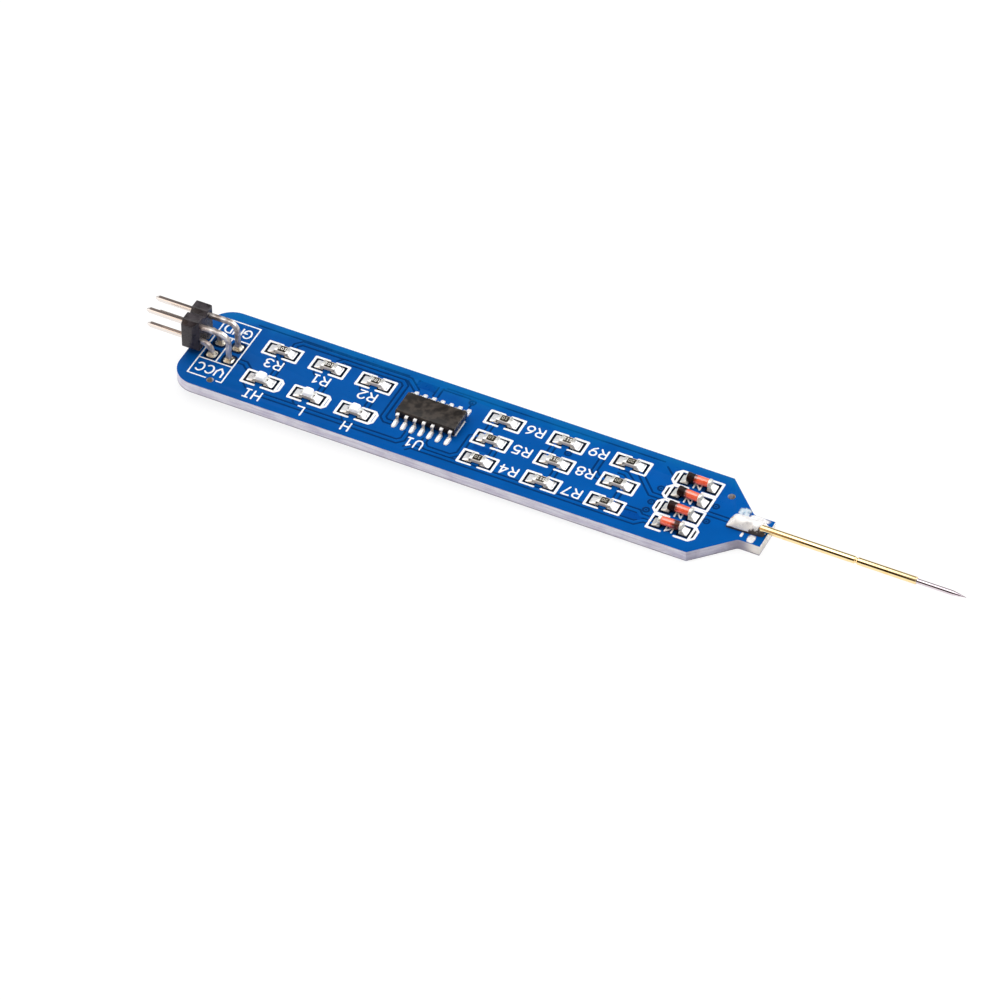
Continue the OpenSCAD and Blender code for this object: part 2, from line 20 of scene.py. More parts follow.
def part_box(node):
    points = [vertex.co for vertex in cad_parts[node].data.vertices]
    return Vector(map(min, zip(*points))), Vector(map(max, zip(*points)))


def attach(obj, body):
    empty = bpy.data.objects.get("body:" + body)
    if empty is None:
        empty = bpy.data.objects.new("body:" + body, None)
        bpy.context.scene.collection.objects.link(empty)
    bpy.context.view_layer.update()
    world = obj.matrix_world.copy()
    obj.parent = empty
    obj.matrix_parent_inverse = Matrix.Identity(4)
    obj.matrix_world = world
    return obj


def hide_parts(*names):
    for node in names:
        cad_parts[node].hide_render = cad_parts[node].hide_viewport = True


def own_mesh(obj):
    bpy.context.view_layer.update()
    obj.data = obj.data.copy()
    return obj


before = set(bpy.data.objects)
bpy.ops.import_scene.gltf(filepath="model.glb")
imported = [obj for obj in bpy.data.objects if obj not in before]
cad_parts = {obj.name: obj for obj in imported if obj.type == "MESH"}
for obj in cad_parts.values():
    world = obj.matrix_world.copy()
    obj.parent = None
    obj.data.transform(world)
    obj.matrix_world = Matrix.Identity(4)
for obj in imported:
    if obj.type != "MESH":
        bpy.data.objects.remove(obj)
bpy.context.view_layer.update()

MM = 0.001
log = logging.getLogger("logic_probe")

Point = tuple[float, float]
Triple = tuple[float, float, float]
Colour = Triple
Segment = tuple[Point, Point]
Place = tuple[Vector, float]
Operand = Union["Value", float]


class Body(Enum):
    """The rigid bodies that pieces ride on."""

    BOARD = "board"
    PLUNGER = "plunger"


class Slot(Enum):
    """The record's material slots."""

    MASK = "board_mask"
    PLASTIC = "header_plastic"
    PIN = "pin_metal"
    SOLDER = "solder"
    RESIN = "chip_resin"
    LEAD = "lead_metal"
    CERAMIC = "resistor_ceramic"
    TERMINAL = "terminal_metal"
    LAMP_BASE = "lamp_base"
    LAMP_LENS = "lamp_lens"
    GLASS = "diode_glass"
    GOLD = "barrel_gold"
    PLUNGER = "plunger_metal"
    SPRING = "spring_steel"


def operation(name: str, swapped: bool = False) -> Callable[["Value", Operand], "Value"]:
    """A method of Value that adds a Math node.

    Args:
        name: the node's operation.
        swapped: whether the other operand stands in front.

    Returns:
        The method.
    """

    def method(self: "Value", other: Operand) -> "Value":
        """Adds the node and gives its result."""
        return self.graph.math(name, *((other, self) if swapped else (self, other)))

    return method


class Value:
    """A number socket that takes part in Python expressions, each adding its Math nodes."""

    __add__ = operation("ADD")
    __radd__ = operation("ADD", True)
    __sub__ = operation("SUBTRACT")
    __rsub__ = operation("SUBTRACT", True)
    __mul__ = operation("MULTIPLY")
    __rmul__ = operation("MULTIPLY", True)
    __truediv__ = operation("DIVIDE")
    __rtruediv__ = operation("DIVIDE", True)
    high = operation("MAXIMUM")

    def __init__(self, graph: "NodeGraph", socket: bpy.types.NodeSocket) -> None:
        """Wraps a socket of a graph."""
        self.graph = graph
        self.socket = socket

    def step(self, start: float, end: float) -> "Value":
        """A smooth step.

        Args:
            start: value that maps to 0.
            end: value that maps to 1.

        Returns:
            The stepped value, from 0 to 1.
        """
        made = self.graph.node(
            "ShaderNodeMapRange",
            {"interpolation_type": "SMOOTHSTEP"},
            {"Value": self, "From Min": start, "From Max": end},
        )
        return Value(self.graph, made.outputs[0])


class NodeGraph:
    """Nodes and links of one tree, added by short calls."""

    def __init__(self, tree: bpy.types.NodeTree) -> None:
        """Starts from a tree."""
        self.tree = tree

    def feed(self, socket: bpy.types.NodeSocket, value: Any) -> None:
        """Sets an input socket.

        Args:
            socket: the input.
            value: a Value or an output socket to link, or a constant.
        """
        if isinstance(value, Value):
            value = value.socket
        if isinstance(value, bpy.types.NodeSocket):
            self.tree.links.new(value, socket)
        else:
            socket.default_value = value

    def node(
        self,
        kind: str,
        settings: Optional[dict[str, Any]] = None,
        sockets: Optional[dict[Union[str, int], Any]] = None,
    ) -> bpy.types.Node:
        """Adds a node.

        Args:
            kind: the node's type.
            settings: properties of the node, set first.
            sockets: constants or links of its inputs, by name or index.

        Returns:
            The node.
        """
        made = self.tree.nodes.new(kind)
        for key, value in (settings or {}).items():
            setattr(made, key, value)
        for key, value in (sockets or {}).items():
            self.feed(made.inputs[key], value)
        return made

    def math(self, operation: str, first: Operand, second: Operand) -> Value:
        """Adds a Math node.

        Args:
            operation: the node's operation.
            first: first operand.
            second: second operand.

        Returns:
            The result.
        """
        made = self.node("ShaderNodeMath", {"operation": operation}, {0: first, 1: second})
        return Value(self, made.outputs[0])

    def vector(self, x: Operand, y: Operand, z: Operand) -> bpy.types.NodeSocket:
        """Joins three numbers to a vector."""
        return self.node("ShaderNodeCombineXYZ", None, {0: x, 1: y, 2: z}).outputs[0]

    def blend(self, share: Any, first: Any, second: Any) -> bpy.types.NodeSocket:
        """Mixes two colours.

        Args:
            share: value or socket; 0 gives the first, 1 the second.
            first: colour or socket.
            second: colour or socket.

        Returns:
            The mixed colour's socket.
        """
        ends = [c if isinstance(c, bpy.types.NodeSocket) else (*c, 1.0) for c in (first, second)]
        made = self.node("ShaderNodeMix", {"data_type": "RGBA"}, {0: share, 6: ends[0], 7: ends[1]})
        return made.outputs[2]


class Shader(NodeGraph):
    """One node material with a Principled surface on Object coordinates."""

    def __init__(self, name: str) -> None:
        """Starts a material of that name."""
        self.material = bpy.data.materials.new(name)
        self.material.use_nodes = True
        super().__init__(self.material.node_tree)
        self.surface = next(n for n in self.tree.nodes if n.type == "BSDF_PRINCIPLED")
        self.place = self.node("ShaderNodeTexCoord").outputs["Object"]

    def axis(self, index: int) -> Value:
        """One Object coordinate in millimetres: 0 is x, 1 is y, 2 is z."""
        split = self.node("ShaderNodeSeparateXYZ", None, {0: self.place})
        return Value(self, split.outputs[index]) / MM

    def noise(
        self,
        grain: float,
        detail: float = 3.0,
        stretch: Triple = (1.0, 1.0, 1.0),
        shift: float = 0.0,
    ) -> Value:
        """Noise over the surface.

        Args:
            grain: size of its features in millimetres.
            detail: octaves.
            stretch: how many times finer it is along x, y and z.
            shift: moves the pattern, so that two uses differ.

        Returns:
            The noise, from 0 to 1 with most of it near 0.5.
        """
        moved = self.node(
            "ShaderNodeMapping", None, {"Vector": self.place, "Location": (shift,) * 3, "Scale": stretch}
        )
        made = self.node(
            "ShaderNodeTexNoise",
            None,
            {"Vector": moved.outputs[0], "Scale": 1 / (grain * MM), "Detail": detail},
        )
        return Value(self, made.outputs[0])

    def bump(self, height: Value, depth: float) -> bpy.types.NodeSocket:
        """A bump of the given depth in millimetres from a height of 0 to 1."""
        made = self.node("ShaderNodeBump", None, {"Height": height, "Distance": depth * MM})
        return made.outputs[0]

    def dress(self, **inputs: Any) -> None:
        """Sets the surface's inputs; a name's underscores stand for spaces."""
        for name, value in inputs.items():
            socket = self.surface.inputs[name.replace("_", " ").title().replace("Ior", "IOR")]
            if isinstance(value, tuple) and len(value) == 3 and socket.type == "RGBA":
                value = (*value, 1.0)
            self.feed(socket, value)


@dataclass(frozen=True)
class Finish:
    """A finish with a name; each kind paints its own node material, made once."""

    name: str

    def paint(self, shader: Shader) -> None:
        """Adds the finish's nodes to an empty material."""
        raise NotImplementedError

    def material(self) -> bpy.types.Material:
        """The finish's material."""
        found = bpy.data.materials.get(self.name)
        if found is None:
            shader = Shader(self.name)
            self.paint(shader)
            found = shader.material
        return found


@dataclass(frozen=True)
class SolderMask(Finish):
    """Glossy lacquer over copper or bare laminate, a little cloudy and not quite level."""

    colour: Colour
    cloud: float = 0.06
    gloss: float = 0.32
    glint: Colour = (0.02, 0.4, 0.9)
    far: Optional[Colour] = None
    lighter: Point = (-55.0, 30.0)
    far_reach: Point = (4.6, 7.8)

    def paint(self, shader: Shader) -> None:
        """Clouds, a fine speckle, painted light that lightens it towards the front, a paler far side and an
        orange-peel bump.
        """
        clouds = shader.noise(4.0, 2.0).step(0.3, 0.7)
        speckle = shader.noise(0.12, 1.0, shift=3.0).step(0.35, 0.75)
        dark = tuple(c * (1 - self.cloud) for c in self.colour)
        light = tuple(c * (1 + self.cloud) for c in self.colour)
        # Painted light: the lacquer gets lighter along x towards the front.
        along = shader.axis(0).step(*self.lighter)
        share = clouds * 0.35 + speckle * 0.1 + along * 0.55
        peel = shader.noise(0.5, 2.0, shift=7.0)
        tone = shader.blend(share, dark, light)
        if self.far:
            # A paler band along the far side.
            thin = (shader.axis(1) + (clouds - 0.5) * 1.6).step(*self.far_reach)
            tone = shader.blend(thin, tone, self.far)
        shader.dress(
            base_color=tone,
            roughness=self.gloss + (peel - 0.5) * 0.2,
            normal=shader.bump(peel, 0.003),
            specular_ior_level=0.14,
            specular_tint=self.glint,
        )


@dataclass(frozen=True)
class Laminate(Finish):
    """Cut edge of glass-fibre laminate, from z low to high: a dark band along the bottom, pale layers, fibre
    ends and a lacquer line.

    Over the range dim along x the edge carries painted shade, most of all just before tab, and beyond tab it
    is paler.
    """

    colour: Colour
    shade: Colour
    rim: Colour
    low: float
    high: float
    dim: Point = (0.0, 0.0)
    tab: float = 1000.0
    paler: Colour = (0.99, 0.97, 0.96)

    def paint(self, shader: Shader) -> None:
        """Layers along the edge, a speckle of fibre ends, darker bands at the bottom and top, painted shade
        on the nose and a paler tab.
        """
        layers = shader.noise(3.2, 3.0, stretch=(1.0, 1.0, 12.0)).step(0.35, 0.65)
        fibres = shader.noise(0.16, 3.0, shift=2.0).step(0.4, 0.72)
        scuffs = shader.noise(2.4, 4.0, stretch=(1.0, 1.0, 0.6), shift=5.0).step(0.45, 0.75)
        height = shader.axis(2)
        lower = 1 - height.step(self.low + 0.1, self.low + 0.2)
        upper = height.step(self.high - 0.06, self.high - 0.02)
        body = shader.blend(layers * 0.6 + fibres * 0.2 + scuffs * 0.4, self.colour, self.shade)
        along = shader.axis(0)
        start, end = self.dim
        # Painted shade over the range dim, deepest just before the tab.
        painted_shade = along.step(start - 0.1, start) * (1 - along.step(end - 0.1, end))
        neck = along.step(self.tab - 1.8, self.tab - 0.2)
        body = shader.blend(painted_shade * (0.25 + neck * 0.5 + scuffs * 0.25), body, self.rim)
        body = shader.blend(along.step(self.tab + 0.4, self.tab + 2.4), body, self.paler)
        shader.dress(
            base_color=shader.blend((lower * 0.9).high(upper * 0.35), body, self.rim),
            roughness=0.72 + fibres * 0.2,
            normal=shader.bump(layers + fibres * 0.6, 0.012),
        )


@dataclass(frozen=True)
class Ink(Finish):
    """Screen-printed ink with an uneven film."""

    colour: Colour
    shade: Colour
    roughness: float = 0.5
    sheen: float = 0.5

    def paint(self, shader: Shader) -> None:
        """A soft mottle and a fine grain."""
        mottle = shader.noise(0.35, 3.0).step(0.35, 0.75)
        grain = shader.noise(0.06, 1.0, shift=4.0)
        shader.dress(
            base_color=shader.blend(mottle, self.colour, self.shade),
            roughness=self.roughness + grain * 0.15,
            normal=shader.bump(grain, 0.004),
            specular_ior_level=self.sheen,
        )


@dataclass(frozen=True)
class Metal(Finish):
    """Plated or soldered metal with a grain that can be drawn out along one axis."""

    colour: Colour
    shade: Colour
    smooth: float = 0.15
    rough: float = 0.32
    grain: float = 0.5
    stretch: Triple = (1.0, 1.0, 1.0)
    relief: float = 0.006
    frost: float = 0.0

    def paint(self, shader: Shader) -> None:
        """A tarnish in broad patches, and a grain in the gloss and the bump."""
        grain = shader.noise(self.grain, 3.0, self.stretch)
        tarnish = shader.noise(self.grain * 2.7, 2.0, shift=6.0).step(0.45, 0.78)
        shader.dress(
            base_color=shader.blend(tarnish, self.colour, self.shade),
            metallic=1 - self.frost,
            roughness=self.smooth + grain.step(0.3, 0.75) * (self.rough - self.smooth),
            normal=shader.bump(grain, self.relief),
        )


@dataclass(frozen=True)
class WornMetal(Metal):
    """Drawn metal that is frosted and spotted with tarnish beyond a place along x; before it, only its crest
    is darkened, as a painted dark reflection.
    """

    place: float = 0.0
    width: float = 1.0
    crest: float = 0.0
    stain_and_shade: Colour = (0.36, 0.29, 0.26)

    def paint(self, shader: Shader) -> None:
        """The metal's own grain, with the frost and the tarnish spots let in beyond the place, and the
        crest's painted dark reflection before it.
        """
        super().paint(shader)
        beyond = shader.axis(0).step(self.place - self.width / 2, self.place + self.width / 2)
        bloom = shader.noise(1.1, 3.0, shift=11.0).step(0.36, 0.62) * beyond
        # Painted dark reflection: before the place, the pin's crest is darkened.
        darker_share = shader.axis(2).step(self.crest - 0.022, self.crest - 0.005) * (1 - beyond)
        shader.dress(
            base_color=shader.blend(bloom.high(darker_share), self.colour, self.stain_and_shade),
            metallic=1 - beyond * self.frost,
            roughness=self.smooth + beyond * (self.rough - self.smooth),
        )


@dataclass(frozen=True)
class LeadPlate(Metal):
    """Plated lead with a frosted shoulder and a leg darkened by tarnish and painted shade; heights in
    millimetres.
    """

    neck: Colour = (0.42, 0.36, 0.29)
    foot: float = 0.2
    shoulder: float = 0.9

    def paint(self, shader: Shader) -> None:
        """The plate's grain, darker between the foot and the shoulder with tarnish and painted shade."""
        super().paint(shader)
        height = shader.axis(2)
        upper = height.step(self.shoulder - 0.06, self.shoulder + 0.06)
        # The leg's darker tone is tarnish and painted shade.
        leg = height.step(self.foot, self.foot + 0.12) * (1 - upper)
        tone = shader.blend(leg * 0.75, self.colour, self.neck)
        shader.dress(base_color=tone, metallic=1 - upper * self.frost)


@dataclass(frozen=True)
class FluxedSolder(Metal):
    """Solder with brown flux over it, in patches or along a side of the joint, and painted shade along its
    near foot.
    """

    flux_and_shade: Colour = (0.06, 0.045, 0.04)
    amount: float = 0.5
    slope: Point = (0.0, 0.0)
    offset: float = 0.0
    fray: float = 2.6
    foot: Optional[float] = None
    near: Point = (-0.9, -0.5)

    def paint(self, shader: Shader) -> None:
        """Bright metal under brown flux, which follows a line across x and y, frayed, and painted shade along
        the near foot.
        """
        grain = shader.noise(self.grain, 4.0, self.stretch)
        patch = shader.noise(self.grain * 1.3, 4.0, shift=6.0)
        line = shader.axis(0) * self.slope[0] + shader.axis(1) * self.slope[1] + self.offset
        flux = (line + (patch - 0.5) * self.fray).step(1 - self.amount, 1.35 - self.amount)
        # Below foot on the near side, the flux colour is laid on as painted shade.
        if self.foot is not None:
            low = 1 - (shader.axis(2) + (patch - 0.5) * 0.4).step(self.foot, self.foot + 0.1)
            flux = flux.high(low * (1 - shader.axis(1).step(*self.near)))
        darker_share = shader.noise(self.grain * 2.0, 2.0, shift=9.0).step(0.4, 0.7)
        shader.dress(
            base_color=shader.blend(flux, shader.blend(darker_share, self.colour, self.shade), self.flux_and_shade),
            metallic=(1 - flux * 0.75) * (1 - self.frost),
            roughness=(self.smooth + grain.step(0.3, 0.75) * (self.rough - self.smooth)).high(flux * 0.4),
            normal=shader.bump(grain, self.relief),
        )


@dataclass(frozen=True)
class Moulding(Finish):
    """Moulded plastic or resin with a fine spark-eroded grain."""

    colour: Colour
    fleck: Colour
    roughness: float
    grain: float = 0.09
    relief: float = 0.006
    sheen: float = 0.5
    blot: float = 1.1
    smudge: float = 0.3

    def paint(self, shader: Shader) -> None:
        """Pale flecks of filler, cloudy gloss and a fine bump."""
        flecks = shader.noise(self.grain, 2.0).step(0.55, 0.8)
        clouds = shader.noise(self.blot, 3.0, shift=5.0).step(0.38, 0.66)
        pale = flecks * (0.8 - self.smudge) + clouds * self.smudge
        shader.dress(
            base_color=shader.blend(pale, self.colour, self.fleck),
            roughness=self.roughness + (clouds - 0.5) * 0.16,
            normal=shader.bump(shader.noise(self.grain, 3.0, shift=1.0), self.relief),
            specular_ior_level=self.sheen,
        )


@dataclass(frozen=True)
class Milky(Finish):
    """Cast resin that scatters light, with a faint cloud inside and a painted glow."""

    colour: Colour
    cloud: Colour
    depth: float = 0.3
    glow: float = 0.14

    def paint(self, shader: Shader) -> None:
        """A cloudy body that light enters and comes out of again, under a satin skin; the emission is a
        painted glow.
        """
        clouds = shader.noise(0.7, 3.0).step(0.35, 0.75)
        tone = shader.blend(clouds, self.colour, self.cloud)
        # The emission is a painted glow that brightens the lens.
        shader.dress(
            base_color=tone,
            emission_color=tone,
            emission_strength=self.glow,
            roughness=0.3 + clouds * 0.15,
            subsurface_weight=self.depth,
            subsurface_radius=(0.4 * MM, 0.4 * MM, 0.35 * MM),
            subsurface_scale=1.0,
            normal=shader.bump(shader.noise(0.25, 2.0, shift=2.0), 0.004),
        )


@dataclass(frozen=True)
class TintedGlass(Finish):
    """Sealed orange glass: a clear skin over a streaky body, sooty by its band, with painted shade below its
    axis and a painted glow.
    """

    colour: Colour
    core: Colour
    soot: Colour
    band: float
    side: float
    axis: float
    under: Colour = (0.2, 0.022, 0.012)
    glow: float = 0.2

    def paint(self, shader: Shader) -> None:
        """Streaks and seeds under a clear coat, soot that thins out from the band, painted shade on the
        underside and a painted glow.
        """
        streaks = shader.noise(0.5, 3.0, stretch=(0.5, 1.6, 1.6)).step(0.3, 0.75)
        seeds = shader.noise(0.12, 1.0, shift=8.0).step(0.62, 0.8)
        drift = (shader.noise(0.5, 3.0, shift=4.0) - 0.5) * 0.9
        beside = ((shader.axis(0) - self.band) * self.side + drift).step(-0.05, 0.6)
        tone = shader.blend(streaks * 0.6 + seeds * 0.3, self.colour, self.core)
        tone = shader.blend(beside, self.soot, tone)
        # Painted shade: below the axis the glass turns to the under colour.
        lit = (shader.axis(2) + drift * 0.2).step(self.axis - 0.36, self.axis + 0.1)
        tone = shader.blend(lit, self.under, tone)
        # The emission is a painted glow.
        shader.dress(
            base_color=tone,
            emission_color=tone,
            emission_strength=self.glow,
            roughness=0.24 + seeds * 0.2,
            subsurface_weight=0.15,
            subsurface_radius=(0.5 * MM, 0.12 * MM, 0.06 * MM),
            subsurface_scale=1.0,
            coat_weight=1.0,
            coat_roughness=0.1,
            coat_ior=1.9,
        )


@dataclass(frozen=True)
class FluxFilm(Finish):
    """Dried flux or scraped lacquer: a whitish film that thins out in patches and at its rim."""

    colour: Colour
    shade: Colour
    cover: float
    base: float
    holes: float = 0.5

    def paint(self, shader: Shader) -> None:
        """Patches of film with clear spots between them."""
        patch = shader.noise(0.55, 4.0)
        tone = shader.noise(0.3, 3.0, shift=3.0).step(0.3, 0.7)
        depth = shader.axis(2) - self.base + (patch - 0.5) * 0.05
        whole = patch.step(0.3, 0.6) * self.holes + (1 - self.holes)
        shader.dress(
            base_color=shader.blend(tone, self.colour, self.shade),
            alpha=depth.step(0.004, 0.036) * whole * self.cover,
            roughness=0.25 + tone * 0.3,
            normal=shader.bump(patch, 0.01),
        )


MASK = SolderMask("mask_blue", (0.0003, 0.087, 0.37), 0.15, far=(0.0006, 0.122, 0.39))
MASK_GAP = SolderMask("mask_beside_copper", (0.0003, 0.034, 0.15), 0.12, 0.3, far=(0.0006, 0.095, 0.3))
MASK_BARE = SolderMask("mask_over_bare_laminate", (0.0003, 0.062, 0.31), 0.1, 0.3, far=(0.0006, 0.1, 0.34))
# Near-black for pad clearances and nose slots: part real clearance, part painted shade under the parts.
CLEARANCE_AND_SHADE = SolderMask("pad_clearance_shade", (0.003, 0.006, 0.018), 0.2, 0.4)
MASK_PIN = SolderMask("pin_clearance", (0.002, 0.014, 0.055), 0.2, 0.4)
SILK = Ink("white_print", (0.99, 0.99, 0.995), (0.95, 0.95, 0.96))
CODE_INK = Ink("grey_print", (0.5, 0.47, 0.4), (0.32, 0.3, 0.25))
CODE_WHITE = Ink("pale_print", (0.95, 0.93, 0.88), (0.8, 0.78, 0.72))
SOLDER = Metal(
    "reflowed_solder", (0.95, 0.95, 0.96), (0.76, 0.73, 0.73), 0.26, 0.42, 0.35, relief=0.013, frost=0.18
)
# Darker copy of the solder for the diodes' pads: painted shade.
SHADED_DIODE_SOLDER = Metal(
    "shaded_diode_solder", (0.84, 0.84, 0.81), (0.6, 0.585, 0.56), 0.28, 0.44, 0.3, relief=0.016, frost=0.18
)
PIN_SOLDER = FluxedSolder(
    "pin_solder", (0.96, 0.91, 0.8), (0.78, 0.6, 0.34), 0.22, 0.4, 0.5, frost=0.3,
    flux_and_shade=(0.07, 0.04, 0.018), amount=0.82, fray=3.2,
)
TIN = Metal("tin_plate", (0.96, 0.95, 0.92), (0.88, 0.86, 0.82), 0.26, 0.4, 0.25, relief=0.003, frost=0.2)
# Darker, unfrosted copy of the lead plate for the far row: painted shade.
FAR_LEAD = Metal("shaded_lead", (0.8, 0.79, 0.77), (0.66, 0.65, 0.62), 0.22, 0.32, 0.25, relief=0.002)
TOE_SOLDER = Metal(
    "toe_solder", (0.99, 0.98, 0.97), (0.94, 0.93, 0.91), 0.28, 0.42, 0.25, relief=0.003, frost=0.75
)
CUP = Metal("cup_plate", (0.93, 0.91, 0.83), (0.82, 0.79, 0.68), 0.24, 0.38, 0.25, relief=0.003, frost=0.5)
PIN_METAL = WornMetal(
    "drawn_pin", (0.86, 0.8, 0.76), (0.7, 0.61, 0.56), 0.16, 0.31, 0.5, (0.15, 1.0, 0.6), 0.0003, 0.26,
    place=-51.5, width=2.0,
)
RESIN = Moulding(
    "black_epoxy", (0.015, 0.012, 0.0105), (0.07, 0.055, 0.045), 0.36, sheen=0.3, blot=0.9, smudge=0.7
)
# Lighter, glossier copy of the resin for the chip's +x end faces: painted light.
RESIN_LIT_END = Moulding(
    "lit_end_epoxy", (0.03, 0.026, 0.024), (0.14, 0.128, 0.12), 0.28, sheen=0.7, blot=0.7, smudge=0.6
)
NYLON = Moulding("black_nylon", (0.022, 0.017, 0.0205), (0.096, 0.078, 0.09), 0.33, 0.2, 0.006, 0.4)
CERAMIC = Moulding("alumina", (0.78, 0.73, 0.67), (0.6, 0.55, 0.5), 0.5, 0.12, 0.004)
COVER = Moulding("resistor_cover", (0.02, 0.017, 0.013), (0.055, 0.048, 0.038), 0.4, 0.12, 0.004, 0.14)
COVER_WORN = Moulding("worn_cover", (0.075, 0.066, 0.054), (0.15, 0.135, 0.115), 0.42, 0.12, 0.004, 0.2)
LAMP_BASE = Moulding("lamp_laminate", (0.6, 0.56, 0.5), (0.42, 0.38, 0.33), 0.55, 0.15, 0.004)
LENS = Milky("milky_lens", (1.0, 1.0, 0.995), (0.97, 0.965, 0.955), 0.15, 0.22)
SMOKE = Ink("smoky_band", (0.05, 0.012, 0.008), (0.16, 0.035, 0.02), 0.25, 0.3)
# Cathode band ink; where it runs over the caps it is also a painted dark reflection.
BAND_AND_CAP_SHADE = Ink("cathode_band", (0.011, 0.006, 0.006), (0.04, 0.014, 0.012), 0.25, 0.16)
GOLD = Metal("gold_plate", (1.0, 0.79, 0.44), (0.96, 0.68, 0.31), 0.05, 0.1, 0.4, (0.12, 1.0, 1.0), 0.001)
STEEL = Metal("plunger_plate", (0.74, 0.65, 0.7), (0.6, 0.5, 0.56), 0.05, 0.1, 0.3, (0.15, 1.0, 1.0), 0.001)
WIRE = Metal("spring_wire", (0.55, 0.54, 0.53), (0.4, 0.39, 0.38), 0.2, 0.38, 0.2)


class Layout:
    """Where things are on the board, from the frame's own boxes."""

    def __init__(self) -> None:
        """Reads the board's box."""
        low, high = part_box("circuit_board")
        self.rear = low.x
        self.front = high.x
        self.top = high.z
        self.bottom = low.z

    def at(self, x: float, y: float, z: float = 0.0) -> Vector:
        """A place on the board, in millimetres, as a point of the part's frame."""
        return Vector((self.rear + x * MM, y * MM, self.top + z * MM))

    def centre(self, node: str) -> Point:
        """The middle of a node's box on the board, in millimetres."""
        low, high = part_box(node)
        return ((low.x + high.x) / 2 - self.rear) / MM, (low.y + high.y) / 2 / MM

    def height(self, node: str) -> float:
        """The top of a node above the board, in millimetres."""
        return (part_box(node)[1].z - self.top) / MM


def link(name: str, mesh: bpy.types.Mesh) -> bpy.types.Object:
    """Puts a mesh into the scene under a name."""
    piece = bpy.data.objects.new(name, mesh)
    bpy.context.scene.collection.objects.link(piece)
    return piece


def as_piece(name: str, bm: bmesh.types.BMesh, sharp: float = 35.0) -> bpy.types.Object:
    """Turns a bmesh into a smooth-shaded piece.

    Args:
        name: the piece's name.
        bm: the shape, freed here.
        sharp: edges steeper than this many degrees stay sharp.

    Returns:
        The piece.
    """
    mesh = bpy.data.meshes.new(name)
    bm.to_mesh(mesh)
    bm.free()
    mesh.shade_smooth()
    mesh.set_sharp_from_angle(angle=math.radians(sharp))
    return link(name, mesh)


def softened(bm: bmesh.types.BMesh, edges: Sequence[bmesh.types.BMEdge], width: float, segments: int) -> None:
    """Rounds edges of a shape over a width in millimetres."""
    bmesh.ops.bevel(
        bm, geom=edges, offset=width * MM, segments=segments, profile=0.5, affect="EDGES", clamp_overlap=True
    )


def solid_copy(
    nodes: Iterable[str], bevel: float, segments: int = 2, sharp: float = 28.0
) -> bmesh.types.BMesh:
    """Copies solids of the frame, merged and with softened edges.

    Args:
        nodes: names of the solids.
        bevel: width of the bevel in millimetres.
        segments: segments of the bevel.
        sharp: edges steeper than this many degrees are bevelled.

    Returns:
        The joined copy.
    """
    bm = bmesh.new()
    for name in nodes:
        bm.from_mesh(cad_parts[name].data)
    bmesh.ops.remove_doubles(bm, verts=bm.verts, dist=1e-7)
    bmesh.ops.dissolve_limit(bm, angle_limit=math.radians(0.5), verts=bm.verts, edges=bm.edges)
    limit = math.radians(sharp)
    edges = [e for e in bm.edges if e.is_manifold and e.calc_face_angle(0.0) > limit]
    softened(bm, edges, bevel, segments)
    return bm


def turned(profile: Sequence[Point], sides: int = 48) -> bmesh.types.BMesh:
    """A body of revolution about the x axis.

    Args:
        profile: (x, radius) points in millimetres; a radius of 0 closes an end.
        sides: faces round the axis.

    Returns:
        The body.
    """
    bm = bmesh.new()
    rings = []
    for x, radius in profile:
        count = sides if radius > 1e-6 else 1
        r = radius * MM
        turn = [2 * math.pi * k / sides for k in range(count)]
        rings.append([bm.verts.new((x * MM, r * math.cos(a), r * math.sin(a))) for a in turn])
    for first, second in zip(rings, rings[1:]):
        for k in range(sides):
            corners = [first[k % len(first)], first[(k + 1) % len(first)]]
            corners += [second[(k + 1) % len(second)], second[k % len(second)]]
            loop = list(dict.fromkeys(corners))
            if len(loop) > 2:
                bm.faces.new(loop)
    bmesh.ops.recalc_face_normals(bm, faces=bm.faces)
    return bm


def eased(profile: Sequence[Point], radius: float, steps: int = 3) -> list[Point]:
    """Rounds the inner corners of a profile.

    Args:
        profile: the points.
        radius: how far along each side a corner is cut back.
        steps: points on each round.

    Returns:
        The rounded profile.
    """
    out = [profile[0]]
    for a, b, c in zip(profile, profile[1:], profile[2:]):
        before = Vector(a) - Vector(b)
        after = Vector(c) - Vector(b)
        cut = min(radius, before.length * 0.45, after.length * 0.45)
        start = Vector(b) + before.normalized() * cut
        end = Vector(b) + after.normalized() * cut
        for k in range(steps + 1):
            t = k / steps
            point = start * (1 - t) ** 2 + Vector(b) * 2 * t * (1 - t) + end * t ** 2
            out.append((point.x, point.y))
    out.append(profile[-1])
    return out


